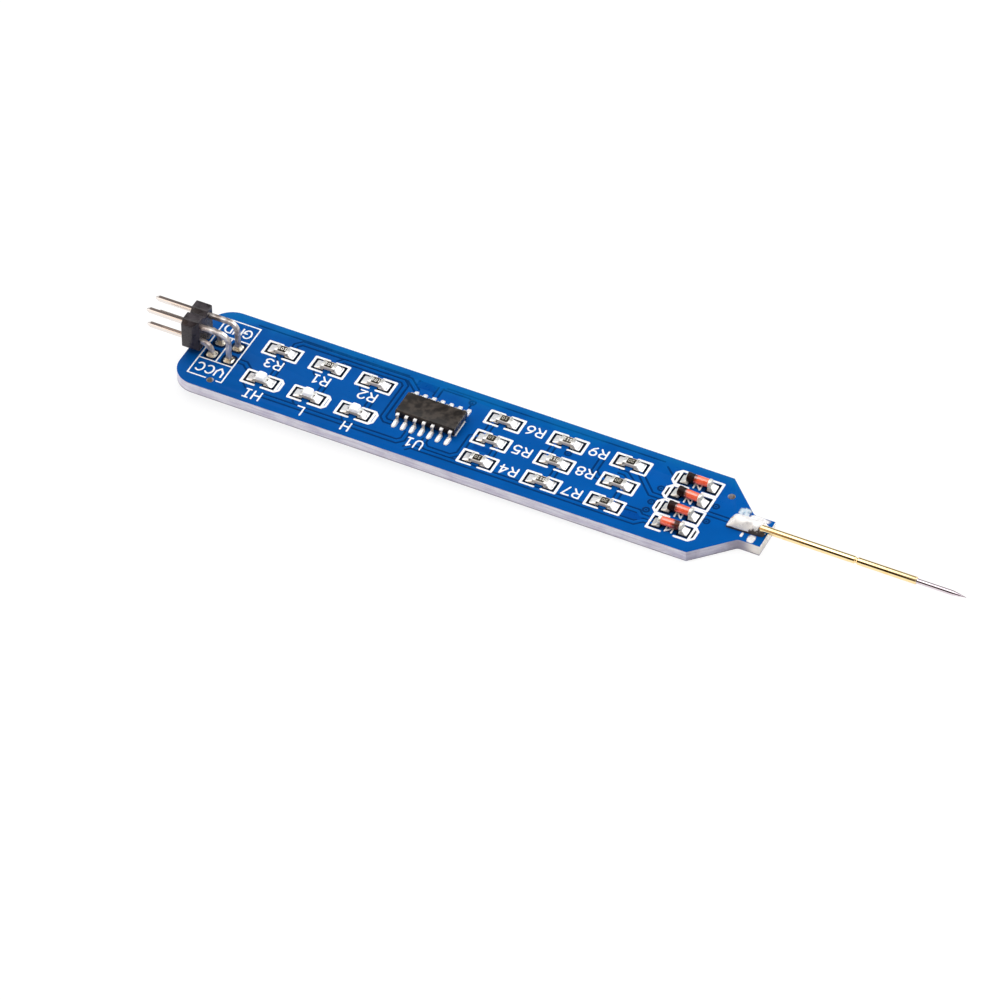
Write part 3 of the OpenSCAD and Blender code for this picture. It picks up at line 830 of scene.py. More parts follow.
def mound(
    size: Point,
    height: Callable[[float, float], float],
    steps: tuple[int, int] = (16, 16),
    corner: float = 0.06,
    rim: float = 6.0,
) -> bmesh.types.BMesh:
    """A closed cushion on a flat base, centred on the origin.

    Args:
        size: length and width of the base in millimetres.
        height: height in millimetres at a place on the base.
        steps: faces along and across.
        corner: how far the plan's corners are rounded.
        rim: how steeply the rim rounds over.

    Returns:
        The cushion.
    """
    bm = bmesh.new()
    half = (size[0] / 2, size[1] / 2)

    def spread(k: int, n: int) -> float:
        """Steps that crowd towards the rim."""
        return math.sin((2 * k / n - 1) * math.pi / 2)

    grid = []
    for i in range(steps[0] + 1):
        a = spread(i, steps[0])
        row = []
        for j in range(steps[1] + 1):
            b = spread(j, steps[1])
            x = half[0] * a * (1 - corner * abs(b) ** 6)
            y = half[1] * b * (1 - corner * abs(a) ** 6)
            fall = max(0.0, (1 - abs(a) ** rim) * (1 - abs(b) ** rim)) ** 0.5
            row.append(bm.verts.new((x * MM, y * MM, height(x, y) * fall * MM)))
        grid.append(row)
    for i in range(steps[0]):
        for j in range(steps[1]):
            bm.faces.new((grid[i][j], grid[i + 1][j], grid[i + 1][j + 1], grid[i][j + 1]))
    last_i, last_j = steps
    loop = [grid[0][j] for j in range(last_j)] + [grid[i][last_j] for i in range(last_i)]
    loop += [grid[last_i][j] for j in range(last_j, 0, -1)] + [grid[i][0] for i in range(last_i, 0, -1)]
    bm.faces.new(loop)
    return bm


def block(size: Triple, bevel: float, segments: int = 2) -> bmesh.types.BMesh:
    """A block with rounded edges on the plane z = 0, sizes in millimetres."""
    bm = bmesh.new()
    bmesh.ops.create_cube(bm, size=1.0)
    bmesh.ops.scale(bm, vec=Vector(size) * MM, verts=bm.verts)
    bmesh.ops.translate(bm, vec=Vector((0, 0, size[2] / 2 * MM)), verts=bm.verts)
    softened(bm, list(bm.edges), bevel, segments)
    return bm


def film(
    size: Point, thickness: float, shift: float = 0.0, steps: tuple[int, int] = (4, 4), corner: float = 0.03
) -> bmesh.types.BMesh:
    """A thin flat patch with a soft rim.

    Args:
        size: length and width in millimetres.
        thickness: its thickness in millimetres.
        shift: how far along x it lies from the origin.
        steps: faces along and across.
        corner: how far its corners are rounded.

    Returns:
        The patch.
    """
    bm = mound(size, lambda x, y: thickness, steps, corner, 20.0)
    bm.transform(Matrix.Translation((shift * MM, 0, 0)))
    return bm


class ShapeTree(NodeGraph):
    """A Geometry Nodes tree with named inputs, run once to make a plain mesh."""

    def __init__(self, name: str, inputs: dict[str, str]) -> None:
        """Starts a tree.

        Args:
            name: the tree's name.
            inputs: kind of each named input's socket.
        """
        super().__init__(bpy.data.node_groups.new(name, "GeometryNodeTree"))
        face = self.tree.interface
        face.new_socket("Geometry", in_out="INPUT", socket_type="NodeSocketGeometry")
        face.new_socket("Geometry", in_out="OUTPUT", socket_type="NodeSocketGeometry")
        self.keys = {}
        for key, kind in inputs.items():
            socket = face.new_socket(key, in_out="INPUT", socket_type=f"NodeSocket{kind}")
            self.keys[key] = socket.identifier
        self.inputs = self.node("NodeGroupInput").outputs
        self.output = self.node("NodeGroupOutput")

    def number(self, name: str) -> Value:
        """A named number input."""
        return Value(self, self.inputs[name])

    def end(self, geometry: bpy.types.NodeSocket) -> None:
        """Realizes the instances, smooths them, sets the finish and ends the tree."""
        real = self.node("GeometryNodeRealizeInstances", None, {0: geometry})
        smooth = self.node("GeometryNodeSetShadeSmooth", None, {0: real.outputs[0]})
        painted = self.node(
            "GeometryNodeSetMaterial", None,
            {"Geometry": smooth.outputs[0], "Material": self.inputs["Finish"]},
        )
        self.feed(self.output.inputs[0], painted.outputs[0])

    def run(self, name: str, source: bpy.types.Mesh, sharp: float = 35.0, **values: Any) -> bpy.types.Object:
        """Makes a piece.

        Args:
            name: the piece's name.
            source: points or edges that the tree starts from.
            sharp: edges steeper than this many degrees stay sharp.
            values: the named inputs.

        Returns:
            The piece, with no modifier left on it.
        """
        piece = link(name, source)
        modifier = piece.modifiers.new(name, "NODES")
        modifier.node_group = self.tree
        for key, value in values.items():
            modifier[self.keys[key]] = value
        graph = bpy.context.evaluated_depsgraph_get()
        mesh = bpy.data.meshes.new_from_object(piece.evaluated_get(graph), depsgraph=graph)
        mesh.set_sharp_from_angle(angle=math.radians(sharp))
        piece.modifiers.clear()
        piece.data = mesh
        mesh.name = name
        return piece


def stroke_tree() -> ShapeTree:
    """Print and tracks: each edge becomes a low rounded stroke with round ends.

    Returns:
        The tree, with the inputs Width, Height, Base, Sides and Finish.
    """
    tree = ShapeTree(
        "printed_stroke",
        {"Width": "Float", "Height": "Float", "Base": "Float", "Sides": "Int", "Finish": "Material"},
    )
    start = tree.inputs["Geometry"]
    radius = tree.number("Width") * 0.5
    line = tree.node("GeometryNodeMeshToCurve", None, {0: start})
    ring = tree.node(
        "GeometryNodeCurvePrimitiveCircle", None, {"Resolution": tree.inputs["Sides"], "Radius": radius}
    )
    tube = tree.node(
        "GeometryNodeCurveToMesh",
        None,
        {"Curve": line.outputs[0], "Profile Curve": ring.outputs[0], "Fill Caps": True},
    )
    knots = tree.node("GeometryNodeMergeByDistance", None, {"Geometry": start, "Distance": 1e-6})
    ball = tree.node(
        "GeometryNodeMeshUVSphere", None, {"Segments": tree.inputs["Sides"], "Rings": 4, "Radius": radius}
    )
    ends = tree.node(
        "GeometryNodeInstanceOnPoints", None, {"Points": knots.outputs[0], "Instance": ball.outputs[0]}
    )
    joined = tree.node("GeometryNodeJoinGeometry", None, {0: tube.outputs[0]})
    tree.feed(joined.inputs[0], ends.outputs[0])
    flat = tree.node(
        "GeometryNodeTransform",
        None,
        {
            "Geometry": joined.outputs[0],
            "Translation": tree.vector(0.0, 0.0, tree.inputs["Base"]),
            "Scale": tree.vector(1.0, 1.0, tree.number("Height") / radius),
        },
    )
    tree.end(flat.outputs[0])
    return tree


def copies_tree() -> ShapeTree:
    """Parts and joints that repeat: a template on each point, turned by the attribute turn.

    Returns:
        The tree, with the inputs Template, Spread, Seed and Finish.
    """
    tree = ShapeTree(
        "placed_copies",
        {"Template": "Object", "Spread": "Float", "Seed": "Int", "Finish": "Material"},
    )
    template = tree.node("GeometryNodeObjectInfo", None, {"Object": tree.inputs["Template"]})
    turn = tree.node("GeometryNodeInputNamedAttribute", {"data_type": "FLOAT"}, {"Name": "turn"})
    yaw = tree.node("FunctionNodeEulerToRotation", None, {0: tree.vector(0.0, 0.0, turn.outputs[0])})
    spread = tree.number("Spread")
    size = tree.node(
        "FunctionNodeRandomValue",
        {"data_type": "FLOAT"},
        {2: 1 - spread, 3: 1 + spread, "Seed": tree.inputs["Seed"]},
    )
    placed = tree.node(
        "GeometryNodeInstanceOnPoints",
        None,
        {
            "Points": tree.inputs["Geometry"],
            "Instance": template.outputs["Geometry"],
            "Rotation": yaw.outputs[0],
            "Scale": tree.vector(1.0, 1.0, size.outputs[1]),
        },
    )
    tree.end(placed.outputs[0])
    return tree


def coil_tree() -> ShapeTree:
    """A helical spring along x, from the point that the tree starts from.

    Returns:
        The tree, with the inputs Turns, Radius, Length, Wire and Finish.
    """
    tree = ShapeTree(
        "coil_spring",
        {"Turns": "Float", "Radius": "Float", "Length": "Float", "Wire": "Float", "Finish": "Material"},
    )
    radius = tree.number("Radius")
    helix = tree.node(
        "GeometryNodeCurveSpiral",
        None,
        {
            "Resolution": 24,
            "Rotations": tree.inputs["Turns"],
            "Start Radius": radius,
            "End Radius": radius,
            "Height": tree.inputs["Length"],
        },
    )
    ring = tree.node(
        "GeometryNodeCurvePrimitiveCircle", None, {"Resolution": 8, "Radius": tree.number("Wire") * 0.5}
    )
    wire = tree.node(
        "GeometryNodeCurveToMesh",
        None,
        {"Curve": helix.outputs[0], "Profile Curve": ring.outputs[0], "Fill Caps": True},
    )
    laid = tree.node(
        "GeometryNodeTransform",
        None,
        {"Geometry": wire.outputs[0], "Rotation": (0.0, math.pi / 2, 0.0)},
    )
    placed = tree.node(
        "GeometryNodeInstanceOnPoints", None, {"Points": tree.inputs["Geometry"], "Instance": laid.outputs[0]}
    )
    tree.end(placed.outputs[0])
    return tree


class Workshop:
    """Shared trees and the calls that every sub-assembly makes."""

    def __init__(self) -> None:
        """Builds the trees and reads the layout."""
        self.layout = Layout()
        self.strokes = stroke_tree()
        self.copies = copies_tree()
        self.coils = coil_tree()

    def keep(
        self,
        piece: bpy.types.Object,
        slot: Slot,
        replaced: Iterable[str] = (),
        finishes: Sequence[Finish] = (),
        body: Body = Body.BOARD,
    ) -> None:
        """Finishes a piece: its materials, its body and the solids that it stands for.

        Args:
            piece: the piece, at the origin.
            slot: the record's material slot; not used.
            replaced: solids of the frame that the piece stands for.
            finishes: finishes to give it, in slot order; none where a tree has set one.
            body: the body that it rides on.
        """
        for finish in finishes:
            piece.data.materials.append(finish.material())
        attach(piece, body.value)
        names = list(replaced)
        if names:
            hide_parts(*names)
        log.info("%s: %d faces, stands for %d solids", piece.name, len(piece.data.polygons), len(names))

    def set_out(
        self,
        name: str,
        shape: bmesh.types.BMesh,
        places: Sequence[Place],
        finish: Finish,
        slot: Slot,
        replaced: Iterable[str] = (),
        spread: float = 0.0,
        sharp: float = 35.0,
    ) -> None:
        """Puts copies of a shape at places and keeps them as one piece.

        Args:
            name: name of the piece.
            shape: the template, about its own origin.
            places: a point and a turn about z for each copy.
            finish: the finish.
            slot: the record's material slot.
            replaced: solids of the frame that the piece stands for.
            spread: share by which the copies' heights differ.
            sharp: edges steeper than this many degrees stay sharp.
        """
        template = as_piece(name + "_template", shape, sharp)
        points = bpy.data.meshes.new(name)
        points.from_pydata([p for p, _ in places], [], [])
        turns = points.attributes.new("turn", "FLOAT", "POINT")
        turns.data.foreach_set("value", [t for _, t in places])
        piece = self.copies.run(
            name, points, sharp, Template=template, Spread=spread, Seed=len(places), Finish=finish.material()
        )
        bpy.data.objects.remove(template)
        self.keep(piece, slot, replaced)


class Pen:
    """Collects strokes on the board and prints them as one piece."""

    def __init__(self, shop: Workshop) -> None:
        """Starts with an empty sheet."""
        self.shop = shop
        self.segments: list[Segment] = []

    def line(self, points: Sequence[Point]) -> None:
        """Adds a run of straight strokes through points in millimetres."""
        self.segments += zip(points, points[1:])

    def dot(self, x: float, y: float) -> None:
        """Adds a dot."""
        self.segments.append(((x - 0.01, y), (x + 0.01, y)))

    def circle(self, x: float, y: float, radius: float, sides: int = 16) -> None:
        """Adds a ring."""
        self.line(arc(x, y, radius, radius, 0.0, 360.0, sides))

    def write(self, text: str, x: float, y: float, height: float) -> None:
        """Writes generic lettering, read from the far side of the board.

        Args:
            text: letters and digits of the board's own font.
            x: middle of the text.
            y: middle of the text.
            height: height of a capital, in millimetres.
        """
        width = (len(text) - 1) * ADVANCE + GLYPH_W
        for k, letter in enumerate(text):
            left = width / 2 - k * ADVANCE
            for stroke in GLYPHS[letter]:
                self.line([(x + (left - gx) * height, y + (0.5 - gy) * height) for gx, gy in stroke])

    def print(
        self, name: str, width: float, height: float, finish: Finish, slot: Slot = Slot.MASK, z: float = 0.0
    ) -> None:
        """Makes the strokes one piece and keeps it.

        Args:
            name: its name.
            width: width of a stroke in millimetres.
            height: thickness of the film in millimetres.
            finish: the finish.
            slot: the record's material slot.
            z: height of the surface under it above the board, in millimetres.
        """
        layout = self.shop.layout
        ends = [layout.at(*p) for pair in self.segments for p in pair]
        flat = [(p.x, p.y, 0.0) for p in ends]
        mesh = bpy.data.meshes.new(name)
        mesh.from_pydata(flat, [(k, k + 1) for k in range(0, len(flat), 2)], [])
        piece = self.shop.strokes.run(
            name,
            mesh,
            60.0,
            Width=width * MM,
            Height=height * MM,
            Base=layout.top + z * MM,
            Sides=10,
            Finish=finish.material(),
        )
        self.shop.keep(piece, slot)


def arc(x: float, y: float, rx: float, ry: float, start: float, end: float, steps: int = 8) -> list[Point]:
    """Points on an elliptic arc.

    Args:
        x: centre.
        y: centre.
        rx: half width.
        ry: half height.
        start: first angle in degrees.
        end: last angle in degrees.
        steps: number of chords.

    Returns:
        The points.
    """
    turns = [math.radians(start + (end - start) * k / steps) for k in range(steps + 1)]
    return [(x + rx * math.cos(t), y + ry * math.sin(t)) for t in turns]


GLYPH_W = 0.64
ADVANCE = 0.92
GLYPHS: dict[str, list[list[Point]]] = {
    "0": [arc(0.32, 0.5, 0.32, 0.5, 0, 360, 14)],
    "1": [[(0.1, 0.78), (0.34, 1), (0.34, 0)], [(0.14, 0), (0.54, 0)]],
    "2": [arc(0.32, 0.69, 0.31, 0.31, 165, -35) + [(0.02, 0), (0.64, 0)]],
    "3": [arc(0.3, 0.75, 0.28, 0.25, 150, -90), arc(0.3, 0.25, 0.33, 0.25, 90, -150)],
    "4": [[(0.48, 0), (0.48, 1), (0, 0.3), (0.66, 0.3)]],
    "5": [[(0.58, 1), (0.1, 1), (0.05, 0.54)] + arc(0.31, 0.32, 0.32, 0.32, 128, -145)],
    "6": [arc(0.32, 0.3, 0.31, 0.3, 0, 360, 12), [(0.02, 0.38), (0.2, 0.76), (0.5, 1)]],
    "7": [[(0, 1), (0.64, 1), (0.2, 0)]],
    "8": [arc(0.32, 0.76, 0.26, 0.24, 0, 360, 12), arc(0.32, 0.27, 0.32, 0.27, 0, 360, 12)],
    "9": [arc(0.32, 0.7, 0.31, 0.3, 0, 360, 12), [(0.62, 0.62), (0.44, 0.24), (0.14, 0)]],
    "C": [arc(0.36, 0.5, 0.36, 0.5, 45, 315, 12)],
    "D": [[(0, 0), (0, 1), (0.26, 1)] + arc(0.26, 0.5, 0.4, 0.5, 90, -90) + [(0, 0)]],
    "G": [arc(0.36, 0.5, 0.36, 0.5, 45, 345, 12) + [(0.7, 0.46), (0.42, 0.46)]],
    "H": [[(0, 0), (0, 1)], [(0.64, 0), (0.64, 1)], [(0, 0.5), (0.64, 0.5)]],
    "I": [[(0.32, 0), (0.32, 1)], [(0.1, 0), (0.54, 0)], [(0.1, 1), (0.54, 1)]],
    "L": [[(0, 1), (0, 0), (0.6, 0)]],
    "N": [[(0, 0), (0, 1), (0.64, 0), (0.64, 1)]],
    "R": [
        [(0, 0), (0, 1), (0.34, 1)] + arc(0.34, 0.74, 0.28, 0.26, 90, -90) + [(0, 0.48)],
        [(0.3, 0.48), (0.64, 0)],
    ],
    "U": [[(0, 1), (0, 0.32)] + arc(0.32, 0.32, 0.32, 0.32, 180, 360) + [(0.64, 1)]],
    "V": [[(0, 1), (0, 0.42), (0.32, 0), (0.64, 0.42), (0.64, 1)]],
}

RESISTOR_CODES = {
    "r3": "101", "r1": "101", "r2": "101", "r6": "10", "r5": "10", "r4": "10",
    "r9": "511", "r8": "511", "r7": "511", "r12": "20", "r11": "20", "r10": "20",
}
LAMP_RESISTORS = ("r1", "r2", "r3")
WORN_RESISTORS = ("r7", "r8", "r9")
LAMP_NAMES = ("hi", "low", "high")
LAMP_MARKS = {"hi": "HI", "low": "L", "high": "H"}
PIN_NAMES = ("supply_lower", "supply_upper", "ground_lower", "ground_upper")
DIODES = (1, 2, 3, 4)
REVERSED_DIODE = 4


@dataclass
class CircuitBoard:
    """The board with its lacquer, tracks and print; places in millimetres on the board."""

    shop: Workshop
    bevel: float = 0.05
    taper: float = 8.0
    tab: float = 3.0
    hole_reach: Point = (30.0, 6.9)
    text_h: float = 1.52
    text_w: float = 0.25
    thin_w: float = 0.21
    silk_t: float = 0.036
    frame_w: float = 0.36
    frame_half: Point = (2.45, 1.2)
    frame_gap: float = 0.54
    diode_half: Point = (2.93, 1.31)
    diode_gap: float = 1.0
    lamp_nose: float = 0.43
    diode_nose: float = 0.58
    diode_sign: Point = (0.45, 0.95)
    number_below: float = 2.65
    number_beside: Point = (4.4, 0.05)
    lamp_mark: Point = (0.1, 2.9)
    chip_mark: float = 5.2
    chip_inset: float = 0.2
    chip_frame: Triple = (0.45, -1.5, 1.3)
    track_w: float = 0.42
    track_gap: float = 0.28
    track_t: float = 0.024
    gap_t: float = 0.009
    via_r: float = 0.4
    via_w: float = 0.3
    via_t: float = 0.0288
    clear_t: float = 0.012
    bare_t: float = 0.01
    pad_clear: Triple = (1.8, 2.06, 1.38)
    cap_clear: Triple = (1.76, 2.12, 1.98)
    nose_clear: Triple = (0.3, 1.5, 3.22)
    under_diode: Triple = (2.4, 2.0, 0.0)
    tracks: Sequence[Sequence[Point]] = (
        ((6.9, -0.92), (8.1, -0.92), (9.1, -1.8)),
        ((11.3, 2.2), (12.42, 1.2), (12.42, -1.6)),
        ((12.5, 4.5), (12.5, 5.1), (13.2, 5.8), (29.0, 5.8), (30.7, 4.3)),
        ((19.0, 4.5), (19.6, 5.15), (28.3, 5.15), (28.95, 4.5), (28.95, -2.0), (29.5, -2.55), (30.7, -2.55)),
        ((19.4, -0.2), (19.4, -1.6)),
        ((26.2, -0.2), (26.2, -1.6)),
        ((12.7, -5.4), (32.5, -5.4), (33.15, -4.75), (33.15, -3.2)),
        ((33.4, 4.3), (33.4, 6.1)),
        ((34.0, -6.1), (34.6, -5.48), (66.6, -5.48), (67.6, -4.6), (68.8, -4.6)),
        ((35.8, -3.4), (35.8, -4.1), (36.5, -4.85), (40.0, -4.85), (40.9, -4.0), (40.9, -0.4), (41.6, 0.1)),
        ((42.35, 3.2), (42.35, 0.8)),
        ((44.85, -0.8), (44.85, -3.2)),
        ((51.35, 3.2), (51.35, 0.8)),
        ((53.6, -0.8), (53.6, -3.2)),
        ((58.05, 3.3), (58.05, 0.9), (58.9, 0.05), (59.8, 0.05)),
        ((61.0, 2.2), (62.0, 2.2), (63.2, 1.2)),
        ((63.6, 3.1), (66.4, 0.2), (68.8, 0.2)),
        ((62.7, -0.8), (62.7, -3.2)),
        ((64.2, -3.4), (66.3, -3.4), (66.9, -4.0), (68.6, -4.0)),
        ((73.8, 0.15), (78.2, 0.15)),
    )
    slits: Sequence[Sequence[Point]] = (
        ((16.9, 2.1), (16.9, 1.5), (17.3, 1.1)),
        ((23.7, 2.1), (23.7, 1.5), (24.1, 1.1)),
        ((9.6, -4.1), (9.6, -4.4), (10.2, -5.0)),
        ((16.9, -4.1), (16.9, -4.5), (17.4, -5.0)),
        ((23.9, -4.1), (24.4, -5.0)),
        ((33.95, 5.95), (37.6, 5.95), (38.2, 5.5)),
        ((38.3, 4.3), (38.3, 5.3)),
        ((60.1, 3.1), (61.0, 2.5)),
        ((66.3, 5.7), (67.5, 4.6)),
        ((6.4, 6.4), (28.6, 6.4)),
        ((34.2, 6.4), (65.6, 6.4)),
    )
    vias: Sequence[Point] = (
        (38.3, 5.4), (53.6, 2.3), (67.2, 1.7), (67.1, -1.1), (67.1, -2.7), (74.95, 1.75), (74.95, -1.25),
    )
    bare: Sequence[tuple[float, float, float, float]] = (
        (30.1, 4.9, 32.9, 6.2), (42.0, -2.35, 44.3, -1.45), (64.7, -5.0, 67.6, -3.7),
        (53.1, 1.75, 54.2, 2.85),
    )

    def build(self) -> None:
        """Makes the board, its tracks and its print."""
        self.laminate()
        self.routing()
        self.clearances()
        self.silkscreen()

    def laminate(self) -> None:
        """The board itself: lacquered faces, sawn edges and brown hole walls."""
        layout = self.shop.layout
        bm = solid_copy(["circuit_board"], self.bevel)
        low, high = layout.bottom / MM, layout.top / MM
        end = layout.front / MM - 0.03
        # dim spans the tapered nose, where the edge takes painted shade.
        edge = Laminate(
            "sawn_laminate", (0.86, 0.87, 1.0), (0.6, 0.58, 0.76), (0.3, 0.28, 0.38), low, high,
            (layout.front / MM - self.taper, end), end - self.tab,
        )
        hole = Laminate(
            "drilled_laminate", (0.56, 0.5, 0.4), (0.34, 0.28, 0.2), (0.16, 0.12, 0.08), low, high
        )
        middle = Vector(((layout.rear + layout.front) / 2, 0.0, 0.0))
        reach_x, reach_y = (v * MM for v in self.hole_reach)
        for face in bm.faces:
            if abs(face.normal.z) > 0.3:
                face.material_index = 0
                continue
            spot = face.calc_center_median()
            inner = (spot - middle).dot(face.normal) < 0 and abs(spot.y) < reach_y and spot.x < reach_x
            face.material_index = 2 if inner else 1
        piece = as_piece("board_laminate", bm)
        self.shop.keep(piece, Slot.MASK, ["circuit_board"], [MASK, edge, hole])

    def routing(self) -> None:
        """Tracks under the lacquer, with the bare gaps beside them, and tented vias."""
        gaps = Pen(self.shop)
        ridges = Pen(self.shop)
        for path in self.tracks:
            for side in (-1, 1):
                gaps.line(beside(path, side * (self.track_w + self.track_gap) / 2))
            ridges.line(path)
        for path in self.slits:
            gaps.line(path)
        gaps.print("track_gaps", self.track_gap, self.gap_t, MASK_GAP)
        ridges.print("tracks", self.track_w, self.track_t, MASK)
        rings = Pen(self.shop)
        for x, y in self.vias:
            rings.circle(x, y, self.via_r)
            rings.dot(x, y)
        rings.print("via_rings", self.via_w, self.via_t, MASK_GAP)

    def clearances(self) -> None:
        """Dark clearances round the pads, darkened with painted shade under the parts, patches with no copper
        under the lacquer, and bare lacquer with painted shade under the diodes.
        """
        layout = self.shop.layout
        both = (0.0, math.pi)
        parts = [(layout.at(*layout.centre(n)), turn) for n in two_ended() for turn in both]
        spots = {i: layout.at(*layout.centre(f"diode_glass_{i}")) for i in DIODES}
        caps = [(spots[i], turn) for i in DIODES for turn in both]
        noses = [(spots[i], 0.0 if i == REVERSED_DIODE else math.pi) for i in DIODES]
        under = [(spots[i], 0.0) for i in DIODES]
        rows = [
            ("pad_clearances", self.pad_clear, self.clear_t, parts, CLEARANCE_AND_SHADE),
            ("diode_clearances", self.cap_clear, self.clear_t, caps, CLEARANCE_AND_SHADE),
        ]
        for k, (x0, y0, x1, y1) in enumerate(self.bare):
            where = [(layout.at((x0 + x1) / 2, (y0 + y1) / 2), 0.0)]
            rows.append((f"bare_patch_{k + 1}", (x1 - x0, y1 - y0, 0.0), self.bare_t, where, MASK_BARE))
        # The nose slots take the clearance colour, partly as painted shade.
        rows.append(("nose_slots", self.nose_clear, self.clear_t, noses, CLEARANCE_AND_SHADE))
        # Under each diode: bare lacquer darkened with painted shade.
        rows.append(("diode_gaps", self.under_diode, self.bare_t, under, MASK_GAP))
        for name, (length, width, shift), thickness, places, finish in rows:
            self.shop.set_out(name, film((length, width), thickness, shift), places, finish, Slot.MASK)

    def part_frame(self, pen: Pen, x: float, y: float, half: Point, nose: float = 0.0) -> None:
        """Prints the frame round a two-ended part.

        Args:
            pen: the pen.
            x: middle of the part.
            y: middle of the part.
            half: half length and half width of the frame.
            nose: length of a chamfered end with a second line: ahead of the frame if positive.
        """
        hx, hy = half
        gap = self.diode_gap if half == self.diode_half else self.frame_gap
        for s in (-1, 1):
            start, end = x + s * gap, x + s * hx
            pen.line([(start, y - hy), (end, y - hy), (end, y + hy), (start, y + hy)])
        if nose:
            side = math.copysign(1.0, nose)
            tip = x + side * hx + nose
            bend = hy - abs(nose) * 1.1
            pen.line([(x + side * hx, y - hy), (tip, y - bend), (tip, y + bend), (x + side * hx, y + hy)])

    def diode_symbol(self, pen: Pen, x: float, y: float, side: int) -> None:
        """Prints the diode sign: a triangle that points at a bar on the given side."""
        reach, half = self.diode_sign
        tip = x + side * reach
        back = x - side * reach
        pen.line([(back, y - half), (back, y + half), (tip, y), (back, y - half)])
        pen.line([(tip, y - half), (tip, y + half)])

    def header_frame(self, pen: Pen, words: Pen) -> None:
        """Prints the frame round the header's pads, open where the tooling hole cuts it, and its words."""
        x0, x1, near, far, mid = 1.95, 6.95, -5.62, 5.75, 4.4
        hole_start, hole_end = 4.6, 6.2
        pen.line([(hole_start, near), (x0, near), (x0, far), (x1, far), (x1, near), (hole_end, near)])
        bars = (-2.38, 2.55)
        for y in bars:
            pen.line([(x0, y), (x1, y)])
        pen.line([(mid, bars[0]), (mid, bars[1])])
        for word, y in (("VCC", -4.0), ("GND", 4.1)):
            words.write(word, (x0 + x1) / 2, y, self.text_h)

    def silkscreen(self) -> None:
        """Frames, signs and plain part numbers in white print."""
        layout = self.shop.layout
        frames = Pen(self.shop)
        words = Pen(self.shop)
        thin = Pen(self.shop)
        self.header_frame(thin, words)
        for name in RESISTOR_CODES:
            x, y = layout.centre(f"resistor_{name}")
            self.part_frame(frames, x, y, self.frame_half)
            if name in LAMP_RESISTORS:
                words.write(name.upper(), x, y - self.number_below, self.text_h)
            elif len(name) == 2:
                words.write(name.upper(), x + self.number_beside[0], y + self.number_beside[1], self.text_h)
        for name in LAMP_NAMES:
            x, y = layout.centre(f"lamp_lens_{name}")
            self.part_frame(frames, x, y, self.frame_half, self.lamp_nose)
            words.write(LAMP_MARKS[name], x + self.lamp_mark[0], y - self.lamp_mark[1], self.text_h)
        for i in DIODES:
            x, y = layout.centre(f"diode_glass_{i}")
            side = 1 if i == REVERSED_DIODE else -1
            self.part_frame(frames, x, y, self.diode_half, side * self.diode_nose)
            self.diode_symbol(words, x, y, side)
        x, y = layout.centre("chip_body")
        words.write("U1", x, y - self.chip_mark, self.text_h)
        end = (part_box("chip_body")[1].x - layout.rear) / MM - self.chip_inset
        depth, near, far = self.chip_frame
        frames.line([(end - depth, y + far), (end, y + far), (end, y + near), (end - depth, y + near)])
        frames.print("part_frames", self.frame_w, self.silk_t, SILK)
        words.print("lettering", self.text_w, self.silk_t, SILK)
        thin.print("thin_lines", self.thin_w, self.silk_t, SILK)


def beside(path: Sequence[Point], distance: float) -> list[Point]:
    """A line parallel to a path.

    Args:
        path: the path's points.
        distance: how far to its left the line runs, in millimetres.

    Returns:
        The line's points, with mitred corners.
    """
    ways = [(Vector(b) - Vector(a)).normalized() for a, b in zip(path, path[1:])]
    out = []
    for k, point in enumerate(path):
        before = ways[max(0, k - 1)]
        after = ways[min(k, len(ways) - 1)]
        normal = Vector((-before.y - after.y, before.x + after.x)).normalized()
        mitre = max(0.5, normal.dot(Vector((-after.y, after.x))))
        out.append(tuple(Vector(point) + normal * (distance / mitre)))
    return out


def two_ended() -> list[str]:
    """Nodes that mark the middles of the two-ended parts.

    Returns:
        The resistors and the lamps' lenses.
    """
    return [f"resistor_{n}" for n in RESISTOR_CODES] + [f"lamp_lens_{n}" for n in LAMP_NAMES]


